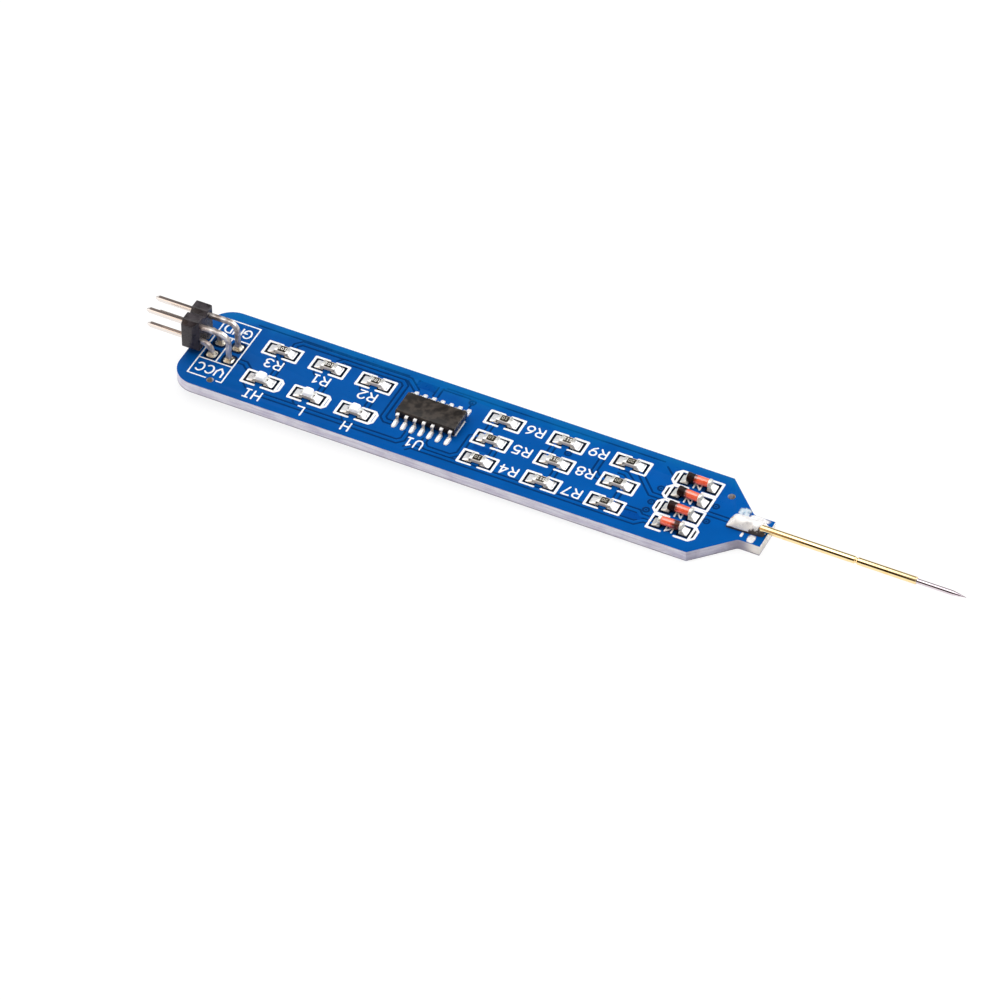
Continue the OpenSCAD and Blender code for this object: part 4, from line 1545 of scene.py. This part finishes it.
@dataclass
class PinHeader:
    """Right-angle header: housing, four square pins and their hand-soldered joints."""

    shop: Workshop
    pad: float = 1.4
    clearance: float = 2.1
    pin_half: float = 0.32
    pin_bevel: float = 0.12
    housing_bevel: float = 0.1
    climb: float = 0.42
    foot_climb: float = 0.7

    def build(self) -> None:
        """Makes the housing, the pins and the joints."""
        housing = as_piece("header_moulding", solid_copy(["header_housing"], self.housing_bevel, 3))
        self.shop.keep(housing, Slot.PLASTIC, ["header_housing"], [NYLON])
        for name in PIN_NAMES:
            node = f"header_pin_{name}"
            pin = as_piece(f"pin_{name}", solid_copy([node], self.pin_bevel, 4))
            # crest sets the height of the painted dark reflection along each pin's top.
            finish = replace(PIN_METAL, name=f"drawn_{name}", crest=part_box(node)[1].z / MM)
            self.shop.keep(pin, Slot.PIN, [node], [finish])
        self.joints()

    def joint(self, climb: float) -> bmesh.types.BMesh:
        """A square pad with solder that climbs the pin."""
        dice = random.Random(7)
        waves = [(dice.uniform(0.5, 1.5), dice.uniform(0, 6.3)) for _ in range(3)]

        def height(x: float, y: float) -> float:
            """Cushion of the pad, hollow flank of the solder and a little unevenness."""
            reach = max(0.0, max(abs(x), abs(y)) - self.pin_half)
            wobble = sum(0.012 * math.sin(f * 6 * x + p) * math.cos(f * 5 * y - p) for f, p in waves)
            return 0.09 + wobble + climb * math.exp(-reach / 0.2)

        return mound((self.pad, self.pad), height, (22, 22), 0.2)

    def joints(self) -> None:
        """Joints on both faces of the board; the lower ones hang from the underside."""
        layout = self.shop.layout
        spots = []
        for name in PIN_NAMES:
            low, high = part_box(f"header_pin_{name}")
            spots.append(((high.x - layout.rear) / MM - self.pin_half, (low.y + high.y) / 2 / MM))
        dice = random.Random(3)
        upper = [(layout.at(*p), dice.choice((0.0, 0.5, 1.0)) * math.pi) for p in spots]
        ring = film((self.clearance, self.clearance), 0.012, 0.0, (12, 12), 0.24)
        self.shop.set_out("pin_clearances", ring, upper, MASK_PIN, Slot.MASK)
        joint = self.joint(self.climb)
        self.shop.set_out("pin_joints", joint, upper, PIN_SOLDER, Slot.SOLDER, ["header_solder"], 0.15)
        under = self.joint(self.foot_climb)
        bmesh.ops.scale(under, vec=(1, 1, -1), verts=under.verts)
        bmesh.ops.reverse_faces(under, faces=under.faces)
        below = [(layout.at(*p, (layout.bottom - layout.top) / MM), 0.0) for p in spots]
        self.shop.set_out("pin_joints_below", under, below, PIN_SOLDER, Slot.SOLDER, spread=0.1)


@dataclass
class Chip:
    """Fourteen-lead chip: moulded body, gull-wing leads and a joint under each foot."""

    shop: Workshop
    lead_pad: Point = (1.55, 0.68)
    toe_x: float = 0.75
    pitch: float = 1.27
    end: float = 0.52
    bevel: float = 0.06

    def build(self) -> None:
        """Makes the body, the leads and the joints."""
        body = as_piece("chip_moulding", solid_copy(["chip_body"], self.bevel, 2, 8.0), 25.0)
        # Faces that point to +x take the lighter copy, as painted light.
        for face in body.data.polygons:
            face.material_index = int(face.normal.x > 0.5)
        self.shop.keep(body, Slot.RESIN, ["chip_body"], [RESIN, RESIN_LIT_END])
        leads = as_piece("gull_wing_leads", solid_copy(["chip_leads"], self.bevel, 3))
        low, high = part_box("chip_leads")
        # The far row of leads takes the darker copy, as painted shade.
        for face in leads.data.polygons:
            face.material_index = int(face.center.y > (low.y + high.y) / 2)
        near = LeadPlate(
            "tinned_lead", (0.97, 0.96, 0.95), (0.9, 0.89, 0.87), 0.3, 0.36, 0.25, relief=0.002, frost=0.8,
            foot=low.z / MM + 0.24, shoulder=high.z / MM - 0.22,
        )
        self.shop.keep(leads, Slot.LEAD, ["chip_leads"], [near, FAR_LEAD])
        self.joints()

    def joints(self) -> None:
        """A pad with a toe fillet for each lead."""
        layout = self.shop.layout
        low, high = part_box("chip_leads")
        body_low, body_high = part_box("chip_body")
        count = round(((body_high.x - body_low.x) / MM - 2 * self.end) / self.pitch) + 1
        first = (body_low.x - layout.rear) / MM + self.end
        toe = self.lead_pad[0] / 2 - self.toe_x

        def height(x: float, y: float) -> float:
            """Thin under the foot, with a slope in front of the toe."""
            reach = x - toe
            slope = 0.26 * max(0.0, 1 - max(0.0, reach) / self.toe_x) ** 0.8 if reach > -0.5 else 0.04
            return 0.1 + slope * max(0.0, 1 - (abs(y) / 0.36) ** 4)

        places = []
        for k in range(count):
            for side, edge in ((1, high.y), (-1, low.y)):
                y = edge / MM + side * (self.toe_x - self.lead_pad[0] / 2)
                places.append((layout.at(first + k * self.pitch, y), side * math.pi / 2))
        shape = mound(self.lead_pad, height, (20, 10), 0.22)
        self.shop.set_out("lead_joints", shape, places, TOE_SOLDER, Slot.SOLDER, spread=0.2)


@dataclass
class SmallParts:
    """Resistors and lamps on their pads; sizes in millimetres."""

    shop: Workshop
    length: float = 2.0
    width: float = 1.25
    cap: float = 0.4
    pad_t: float = 0.05
    pad_w: float = 1.53
    toe: float = 0.94
    climb: float = 0.34
    cover_w: float = 1.1
    code_h: float = 0.46
    code_w: float = 0.1
    code_t: float = 0.012
    lens_swell: float = 0.16

    def build(self) -> None:
        """Makes the resistors, the lamps and the joints."""
        self.resistors()
        self.lamps()
        self.joints()

    def resistors(self) -> None:
        """White ceramic with metal ends, a dark printed cover and a plain number on it."""
        layout = self.shop.layout
        names = list(RESISTOR_CODES)
        spots = {n: layout.centre(f"resistor_{n}") for n in names}
        top = layout.height("terminals_r1")
        bodies = block((self.length - 0.1, self.width, top - self.pad_t - 0.05), 0.04)
        places = [(layout.at(*spots[n], self.pad_t + 0.02), 0.0) for n in names]
        solids = [f"resistor_{n}" for n in names]
        self.shop.set_out("resistor_ceramics", bodies, places, CERAMIC, Slot.CERAMIC, solids)
        ends = [f"terminals_{n}" for n in names]
        piece = as_piece("resistor_terminals", solid_copy(ends, 0.03))
        self.shop.keep(piece, Slot.TERMINAL, ends, [TIN])
        size = (self.length - 2 * self.cap - 0.02, self.cover_w)
        cover = mound(size, lambda x, y: 0.1, (10, 10), 0.05, 8.0)
        plain = [n for n in names if n not in LAMP_RESISTORS + WORN_RESISTORS]
        for kind, group, skin, ink in (
            ("plain", plain, COVER, CODE_INK),
            ("bright", [n for n in names if n in LAMP_RESISTORS], COVER, CODE_WHITE),
            ("worn", [n for n in names if n in WORN_RESISTORS], COVER_WORN, CODE_WHITE),
        ):
            places = [(layout.at(*spots[n], top - 0.07), 0.0) for n in group]
            self.shop.set_out(f"resistor_covers_{kind}", cover.copy(), places, skin, Slot.CERAMIC)
            codes = Pen(self.shop)
            for name in group:
                codes.write(RESISTOR_CODES[name], *spots[name], self.code_h)
            codes.print(f"resistor_codes_{kind}", self.code_w, self.code_t, ink, Slot.CERAMIC, top + 0.028)
        cover.free()

    def lamps(self) -> None:
        """Notched bases with metal ends under milky lenses."""
        for part, name, bevel, slot, finish in (
            ("lamp_base", "lamp_base_set", 0.03, Slot.LAMP_BASE, LAMP_BASE),
            ("lamp_terminals", "lamp_terminals_set", 0.025, Slot.TERMINAL, TIN),
            ("lamp_lens", "lamp_lens_cast", 0.14, Slot.LAMP_LENS, LENS),
        ):
            nodes = [f"{part}_{n}" for n in LAMP_NAMES]
            shape = solid_copy(nodes, bevel, 3)
            if finish is LENS:
                middles = [(low.x + high.x) / 2 for low, high in map(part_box, nodes)]
                for vert in shape.verts:
                    middle = min(middles, key=lambda x: abs(x - vert.co.x))
                    vert.co.x += (vert.co.x - middle) * self.lens_swell
            self.shop.keep(as_piece(name, shape), slot, nodes, [finish])

    def joints(self) -> None:
        """A tinned pad with a hollow fillet at each end of each part."""
        layout = self.shop.layout
        pad_l = self.cap + self.toe
        middle = self.length / 2 - self.cap + pad_l / 2
        face = self.length / 2 - middle

        def height(x: float, y: float) -> float:
            """A cushion of solder that climbs the part's end face."""
            reach = x - face
            if reach < 0 and abs(y) < self.width / 2 + 0.05:
                return self.pad_t
            flank = self.climb * max(0.0, 1 - max(0.0, reach) / self.toe) ** 1.7
            return 0.07 + flank * max(0.0, 1 - (abs(y) / (self.pad_w / 2)) ** 5)

        places = [(layout.at(*layout.centre(n)), turn) for n in two_ended() for turn in (0.0, math.pi)]
        shape = mound((pad_l, self.pad_w), height, (24, 18), 0.05, 14.0)
        shape.transform(Matrix.Translation((middle * MM, 0, 0)))
        self.shop.set_out("part_joints", shape, places, SOLDER, Slot.SOLDER, ["surface_solder"], 0.12)


@dataclass
class Diodes:
    """Four glass diodes that lie a little askew in their joints; sizes in millimetres."""

    shop: Workshop
    length: float = 3.5
    cap_l: float = 0.44
    cap_r: float = 0.65
    glass_r: float = 0.6
    band: Point = (-1.2, -0.62)
    shade_over_cap_start: float = -1.68
    pad: Point = (1.18, 1.5)
    sides: int = 40
    places: list[Place] = field(default_factory=list)

    def build(self) -> None:
        """Makes the glass, the bands, the caps and the joints."""
        self.settle()
        self.tubes()
        self.bands()
        self.cups()
        self.joints()

    def settle(self) -> None:
        """Finds where each diode lies and how it is turned, with its band towards the rear of its own x."""
        layout = self.shop.layout
        for i in DIODES:
            ends = [v.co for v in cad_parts[f"diode_caps_{i}"].data.vertices]
            middle = layout.at(*layout.centre(f"diode_glass_{i}"))
            ahead = [p for p in ends if p.x > middle.x]
            lean = Vector((sum(p.x for p in ahead), sum(p.y for p in ahead), 0)) / len(ahead) - middle
            turn = math.atan2(lean.y, lean.x) + (math.pi if i == REVERSED_DIODE else 0.0)
            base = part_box(f"diode_caps_{i}")[0].z
            self.places.append((Vector((middle.x, middle.y, base + self.cap_r * MM)), turn))

    def tubes(self) -> None:
        """Glass between the caps, waisted at its ends."""
        inner = self.length / 2 - self.cap_l
        r = self.glass_r
        tube = [(-inner - 0.06, 0), (-inner - 0.06, r - 0.1), (-inner + 0.1, r - 0.02), (0, r + 0.015)]
        tube += [(-x, y) for x, y in reversed(tube[:3])]
        first = self.places[0][0] / MM
        for name, side, number in (("diode_tubes", 1, DIODES[:-1]), ("diode_tube_reversed", -1, DIODES[-1:])):
            glass = TintedGlass(
                f"orange_glass_{name}", (1.0, 0.17, 0.075), (0.8, 0.07, 0.026), (0.06, 0.008, 0.006),
                first.x + side * self.band[1], side, first.z,
            )
            spots = [self.places[i - 1] for i in number]
            solids = [f"diode_glass_{i}" for i in number]
            shape = turned(eased(tube, 0.12), self.sides)
            self.shop.set_out(name, shape, spots, glass, Slot.GLASS, solids)

    def bands(self) -> None:
        """Painted bands: a plain one on the reversed diode, and on the rest one that runs over the cap, where
        its dark is also a painted dark reflection of the cap.
        """
        r = self.glass_r
        a, b = self.band
        cap = self.cap_r + 0.012
        inside = r - 0.12
        ring = [(a, inside), (a, r - 0.005), (a + 0.05, r + 0.012), (b - 0.05, r + 0.016), (b, r + 0.004)]
        ring += [(b, inside), (a, inside)]
        # Over the cap the band stands for the cap's painted dark reflection.
        start = self.shade_over_cap_start
        band_over_shaded_cap = [(start, inside), (start, cap - 0.06), (start + 0.08, cap), (a, cap), (a + 0.06, r + 0.02)]
        band_over_shaded_cap += ring[3:6] + [(start, inside)]
        split = REVERSED_DIODE - 1
        plain = turned(ring, self.sides)
        self.shop.set_out("cathode_band_plain", plain, self.places[split:], SMOKE, Slot.GLASS)
        wide = turned(band_over_shaded_cap, self.sides)
        self.shop.set_out("cathode_bands", wide, self.places[:split], BAND_AND_CAP_SHADE, Slot.GLASS)

    def cups(self) -> None:
        """Plated end caps with rounded rims."""
        half = self.length / 2
        inner = half - self.cap_l
        cup = [(inner, 0), (inner, self.cap_r - 0.03), (inner + 0.08, self.cap_r), (half - 0.1, self.cap_r)]
        cup += [(half, self.cap_r - 0.14), (half + 0.015, 0)]
        both = bmesh.new()
        for side in (-1, 1):
            shape = turned(eased([(side * x, y) for x, y in cup], 0.06), self.sides)
            part = bpy.data.meshes.new("cup")
            shape.to_mesh(part)
            shape.free()
            both.from_mesh(part)
            bpy.data.meshes.remove(part)
        solids = [f"diode_caps_{i}" for i in DIODES]
        self.shop.set_out("diode_cups", both, self.places, CUP, Slot.TERMINAL, solids)

    def joints(self) -> None:
        """A tinned pad at each end, with solder that cradles the cap."""
        layout = self.shop.layout
        inner = self.length / 2 - self.cap_l
        middle = inner + self.pad[0] / 2
        face = self.length / 2 - middle

        def height(x: float, y: float) -> float:
            """Low cushion, a cradle beside the cap and a flank against its end."""
            cradle = 0.36 * math.exp(-((abs(y) - 0.45) / 0.2) ** 2) if x < face + 0.1 else 0.0
            reach = max(0.0, x - face) / (self.pad[0] - self.cap_l)
            flank = 0.44 * max(0.0, 1 - reach) ** 1.7 * max(0.0, 1 - (abs(y) / 0.82) ** 4)
            return 0.07 + max(cradle, flank)

        shape = mound(self.pad, height, (20, 20), 0.05, 14.0)
        shape.transform(Matrix.Translation((middle * MM, 0, 0)))
        places = []
        for spot, turn in self.places:
            for half_turn in (0.0, math.pi):
                places.append((Vector((spot.x, spot.y, layout.top)), turn + half_turn))
        self.shop.set_out("diode_joints", shape, places, SHADED_DIODE_SOLDER, Slot.SOLDER, spread=0.12)


@dataclass
class Needle:
    """Spring-loaded test needle in its hand-made joint on the tab; sizes in millimetres."""

    shop: Workshop
    bore_r: float = 0.4
    wall_end: float = 0.4
    crimp_from_mouth: float = 8.35
    crimp_w: float = 0.45
    crimp_d: float = 0.14
    play: float = 0.02
    stop_gap: float = 0.04
    tail_l: float = 1.0
    travel: float = 6.3
    shaft_r: float = 0.35
    point_l: float = 1.9
    tip_r: float = 0.03
    wire: float = 0.11
    turns: float = 24.0
    run_out: float = 0.6
    start: Vector = field(init=False)
    length: float = field(init=False)
    radius: float = field(init=False)
    tip: float = field(init=False)
    crimp: float = field(init=False)
    tail_end: float = field(init=False)
    tail_start: float = field(init=False)

    def __post_init__(self) -> None:
        """Takes the axis and the lengths from the frame."""
        low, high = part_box("needle_barrel")
        self.start = Vector((low.x, 0.0, (low.z + high.z) / 2))
        self.length = (high.x - low.x) / MM
        self.radius = (high.z - low.z) / 2 / MM
        self.tip = (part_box("needle_plunger")[1].x - low.x) / MM
        self.crimp = self.length - self.crimp_from_mouth
        self.tail_end = self.crimp - self.crimp_w / 2 - self.stop_gap
        self.tail_start = self.tail_end - self.tail_l

    def build(self) -> None:
        """Makes the barrel, the plunger, the spring, the joint and the residue."""
        self.barrel()
        self.plunger()
        self.spring()
        self.joint()
        self.residue()

    def moved(self, name: str, profile: Sequence[Point]) -> bpy.types.Object:
        """A turned piece on the needle's axis, from the barrel's rear end."""
        shape = turned(profile)
        shape.transform(Matrix.Translation(self.start))
        return as_piece(name, shape, 30.0)

    def barrel(self) -> None:
        """Gold tube with a rolled crimp, a round closed end and an open mouth."""
        r, bore, c, w = self.radius, self.bore_r, self.crimp, self.crimp_w / 2
        groove = arc(c, r, w, -self.crimp_d, 180, 0, 9)
        choke = bore - self.crimp_d
        profile = [(0, 0), (0, r - 0.31), (0.2, r - 0.15), (0.4, r - 0.05), (0.6, r)] + groove
        profile += [(self.length - 0.08, r), (self.length - 0.02, r - 0.03), (self.length, r - 0.07)]
        profile += [(self.length, bore + 0.01), (self.length - 0.02, bore), (c + w, bore)]
        profile += [(c + w * 0.6, choke), (c - w * 0.6, choke), (c - w, bore)]
        profile += [(self.wall_end, bore), (self.wall_end, 0)]
        self.shop.keep(self.moved("gold_barrel", profile), Slot.GOLD, ["needle_barrel"], [GOLD])

    def plunger(self) -> None:
        """Plated shaft with a sharp point, a guide in the bore and a tail behind the crimp."""
        guide = self.bore_r - self.play
        waist = self.bore_r - self.crimp_d - self.play
        guide_start = self.crimp + self.crimp_w / 2 + self.travel + self.stop_gap
        guide_end = self.length + self.stop_gap
        tail, end = self.tail_start, self.tail_end
        profile = [(tail, 0), (tail, guide - 0.05), (tail + 0.05, guide), (end, guide), (end, waist)]
        profile += [(guide_start, waist), (guide_start, guide), (guide_end, guide)]
        profile += [(guide_end, self.shaft_r), (self.tip - self.point_l, self.shaft_r)]
        profile += [(self.tip - 0.04, self.tip_r + 0.012), (self.tip - 0.01, self.tip_r), (self.tip, 0)]
        piece = self.moved("plated_plunger", profile)
        self.shop.keep(piece, Slot.PLUNGER, ["needle_plunger"], [STEEL], Body.PLUNGER)

    def spring(self) -> None:
        """Coil between the barrel's end and the plunger's tail."""
        length = self.tail_start - self.wall_end - self.wire
        start = self.start + Vector(((self.wall_end + self.wire / 2) * MM, 0, 0))
        seed = bpy.data.meshes.new("coil_spring")
        seed.from_pydata([start], [], [])
        piece = self.shop.coils.run(
            "coil_spring",
            seed,
            60.0,
            Turns=self.turns,
            Radius=(self.bore_r - 0.04 - self.wire / 2) * MM,
            Length=length * MM,
            Wire=self.wire * MM,
            Finish=WIRE.material(),
        )
        self.shop.keep(piece, Slot.SPRING, ["needle_spring"])
        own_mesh(piece)

    def joint(self) -> None:
        """Hand-made solder over the rear of the barrel: a blunt heel, a hump and a run-out at the front."""
        layout = self.shop.layout
        low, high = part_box("needle_solder")
        size = ((high.x - low.x) / MM + self.run_out + 0.1, (high.y - low.y) / MM + 0.3)
        axis = (self.start.z - layout.top) / MM
        dice = random.Random(11)
        waves = [(dice.uniform(1.0, 3.0), dice.uniform(1.0, 3.0), dice.uniform(0, 6.3)) for _ in range(5)]
        half = size[1] / 2

        def height(x: float, y: float) -> float:
            """Full over the barrel, steep at the far side, and falling gently to a blunt near edge."""
            along = x / size[0] + 0.5
            crest = axis + self.radius + 0.12 + 0.06 * math.sin(3.0 * along) - max(0.0, along - 0.87) / 0.13
            crest *= min(1.0, along / 0.2) ** 0.4
            if y > 0.1:
                side = max(0.0, 1 - ((y - 0.1) / (half - 0.1)) ** 2.4) ** 0.6
            else:
                side = 1 - (0.66 + 0.12 * along ** 3) * ((0.1 - y) / (half + 0.1)) ** 1.6
            wobble = sum(0.018 * math.sin(a * 2 * x + p) * math.cos(b * 2 * y + p) for a, b, p in waves)
            return max(0.1, crest * side + wobble)

        # Brown flux on the near side, and below foot painted shade along the joint's near foot.
        finish = FluxedSolder(
            "hand_solder", (1.0, 0.985, 0.98), (0.96, 0.935, 0.925), 0.24, 0.42, 0.7,
            relief=0.012, frost=0.82, amount=0.35,
            slope=(0.55, -1.3), offset=-16.18, foot=layout.top / MM + 0.22,
        )
        shape = mound(size, height, (64, 48), 0.06, 14.0)
        for vert in shape.verts:
            if vert.co.y < 0:
                vert.co.y *= 0.83 - 0.2 * (vert.co.x / MM / size[0] + 0.5)
            vert.co.x += 0.1 * vert.co.y
        middle = (low.x + high.x) / 2 + (self.run_out - 0.1) / 2 * MM
        where = [(Vector((middle, 0, layout.top)), 0.0)]
        self.shop.set_out("needle_joint", shape, where, finish, Slot.SOLDER, ["needle_solder"], sharp=50.0)

    def residue(self) -> None:
        """Flux and scraped lacquer on the tab, as thin ragged films."""
        base = self.shop.layout.top / MM
        flux = FluxFilm("dried_flux", (0.55, 0.78, 0.92), (0.97, 0.98, 0.99), 0.8, base, 0.75)
        scraped = FluxFilm("scraped_tab", (0.97, 0.96, 0.96), (0.76, 0.74, 0.74), 1.0, base, 0.0)
        for name, finish, x, y, size in (
            ("flux_film", flux, 78.75, 2.5, (1.7, 1.5)),
            ("scraped_strip", scraped, 81.1, 2.05, (3.0, 0.95)),
            ("scraped_spot_rear", scraped, 80.05, -1.5, (0.42, 0.95)),
            ("scraped_spot_front", scraped, 81.45, -1.68, (1.1, 1.5)),
        ):
            shape = mound(size, lambda px, py: 0.05, (14, 14), 0.2, 1.8)
            dice = random.Random(len(name))
            for vert in shape.verts:
                vert.co.x += dice.uniform(-0.03, 0.03) * MM
                vert.co.y += dice.uniform(-0.03, 0.03) * MM
            where = [(self.shop.layout.at(x, y), 0.0)]
            self.shop.set_out(name, shape, where, finish, Slot.MASK)


@dataclass(frozen=True)
class Patch:
    """A round patch of the room, in a direction from the probe; its half angle and soft edge in degrees."""

    direction: Triple
    half: float
    soft: float
    strength: float = 1.0

    def seen(self, graph: NodeGraph, ray: bpy.types.NodeSocket) -> Value:
        """How bright the patch is along a ray: its strength inside and 0 outside.

        Args:
            graph: the world's nodes.
            ray: the ray's direction.

        Returns:
            The brightness.
        """
        aim = tuple(Vector(self.direction).normalized())
        dot = graph.node("ShaderNodeVectorMath", {"operation": "DOT_PRODUCT"}, {0: ray, 1: aim})
        edge = math.cos(math.radians(self.half + self.soft))
        full = math.cos(math.radians(self.half - self.soft))
        return Value(graph, dot.outputs["Value"]).step(edge, full) * self.strength


@dataclass
class Studio:
    """White floor, soft boxes and the camera; angles in degrees and lengths in millimetres."""

    azimuth: float = 25.94
    elevation: float = 44.376
    roll: float = 0.047
    distance: float = 806.27
    focal_px: float = 6269.6
    frame_px: float = 1000.0
    sensor: float = 36.0
    aim: Point = (0.2747, 0.4497)
    origin: Triple = (-2.65, -10.049, 2.9)
    floor_half: float = 2500.0
    floor_pale: float = 0.92
    floor_share: float = 0.18
    front_tint: Colour = (1.0, 0.72, 0.46)
    room: float = 0.34
    dark_front: Patch = Patch((-0.3, -0.84, 0.42), 32.0, 6.0)
    front_cut: float = 0.9
    dark_back: Patch = Patch((-0.31, 0.69, 0.65), 19.0, 7.0)
    back_cut: float = 0.62
    overhead: Patch = Patch((-0.31, 0.03, 0.95), 31.5, 4.0, 1.68)
    key: Patch = Patch((0.49, 0.62, 0.69), 18.5, 3.5, 3.4)
    halo: Patch = Patch((0.36, 0.62, 0.72), 20.0, 6.0, 0.3)
    card: Patch = Patch((-0.85, 0.5, 0.25), 28.0, 10.0, 0.38)
    fill: Patch = Patch((-0.8, -0.55, 0.3), 25.0, 8.0, 1.3)
    lamp: Patch = Patch((-0.31, -0.12, 0.94), 5.5, 1.0, 3.5)

    def build(self) -> None:
        """Sets the camera, the floor and the light."""
        self.camera()
        self.floor()
        self.light()
        bpy.context.scene.view_settings.view_transform = "Standard"

    def camera(self) -> None:
        """Camera at the photograph's place, worked out from its fitted angles."""
        a, e = math.radians(self.azimuth), math.radians(self.elevation)
        back = Vector((math.sin(a) * math.cos(e), -math.cos(a) * math.cos(e), math.sin(e)))
        right = Vector((math.cos(a), math.sin(a), 0.0))
        up = back.cross(right)
        spot = back * self.distance + right * self.aim[0] + up * self.aim[1] + Vector(self.origin)
        data = bpy.data.cameras.new("camera")
        data.sensor_width = self.sensor
        data.sensor_fit = "HORIZONTAL"
        data.lens = self.focal_px / self.frame_px * self.sensor
        data.clip_end = 20.0
        eye = bpy.data.objects.new("camera", data)
        turn = Matrix((right, up, back)).transposed().to_4x4()
        roll = Matrix.Rotation(math.radians(self.roll), 4, "Z")
        eye.matrix_world = Matrix.Translation(spot * MM) @ turn @ roll
        bpy.context.scene.collection.objects.link(eye)
        bpy.context.scene.camera = eye

    def floor(self) -> None:
        """Pale floor that touches the header's legs and the nose, as the probe would rest."""
        layout = Layout()
        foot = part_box("header_pin_supply_lower")[0]
        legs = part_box("header_pin_supply_upper")[1].x
        slope = (layout.bottom - foot.z) / (layout.front - legs)
        half = self.floor_half * MM
        corners = []
        for sx, sy in ((-1, -1), (1, -1), (1, 1), (-1, 1)):
            corners.append((sx * half, sy * half, foot.z + (sx * half - legs) * slope - 0.02 * MM))
        mesh = bpy.data.meshes.new("floor")
        mesh.from_pydata(corners, [], [(0, 1, 2, 3)])
        floor = link("floor", mesh)
        mesh.materials.append(self.floor_material())

    def floor_material(self) -> bpy.types.Material:
        """White to the camera and in reflections, with the object's shadow kept."""
        material = bpy.data.materials.new("floor_white")
        material.use_nodes = True
        graph = NodeGraph(material.node_tree)
        graph.tree.nodes.clear()
        path = graph.node("ShaderNodeLightPath")
        seen = Value(graph, path.outputs["Is Camera Ray"])
        seen = seen.high(Value(graph, path.outputs["Is Glossy Ray"]))
        seen = seen.high(Value(graph, path.outputs["Is Transmission Ray"]))
        place = graph.node("ShaderNodeTexCoord").outputs["Object"]
        grain = graph.node("ShaderNodeTexNoise", None, {"Vector": place, "Scale": 8.0})
        tone = graph.blend(grain.outputs[0], (self.floor_pale,) * 3, (self.floor_pale * 0.985,) * 3)
        plain = graph.node("ShaderNodeBsdfDiffuse", None, {"Color": tone})
        share = self.floor_share
        shadow = graph.node("ShaderNodeBsdfDiffuse", None, {"Color": (share, share, share, 1.0)})
        glow = graph.node("ShaderNodeEmission", None, {"Strength": 1.04 - share})
        lit = graph.node("ShaderNodeAddShader", None, {0: shadow.outputs[0], 1: glow.outputs[0]})
        mixed = graph.node("ShaderNodeMixShader", None, {0: seen, 1: plain.outputs[0], 2: lit.outputs[0]})
        graph.node("ShaderNodeOutputMaterial", None, {0: mixed.outputs[0]})
        return material

    def light(self) -> None:
        """A dim room: an overhead box round a bright lamp, a key box at the right, cards at the left."""
        world = bpy.data.worlds.new("studio")
        bpy.context.scene.world = world
        world.use_nodes = True
        graph = NodeGraph(world.node_tree)
        graph.tree.nodes.clear()
        ray = graph.node("ShaderNodeTexCoord").outputs["Generated"]
        front = self.dark_front.seen(graph, ray)
        behind = self.dark_back.seen(graph, ray)
        total = (1 - front * self.front_cut) * (1 - behind * self.back_cut) * self.room
        for box in (self.overhead, self.key, self.halo, self.card, self.fill, self.lamp):
            total = total + box.seen(graph, ray)
        tint = graph.blend(front, (1.0, 1.0, 1.0), self.front_tint)
        back = graph.node("ShaderNodeBackground", None, {"Color": tint, "Strength": total})
        graph.node("ShaderNodeOutputWorld", None, {0: back.outputs[0]})


def main() -> None:
    """Builds the sub-assemblies in order, then the studio."""
    logging.basicConfig(level=logging.INFO, format="%(message)s")
    shop = Workshop()
    for kind in (CircuitBoard, PinHeader, Chip, SmallParts, Diodes, Needle):
        kind(shop).build()
    Studio().build()


if __name__ == "__main__":
    main()
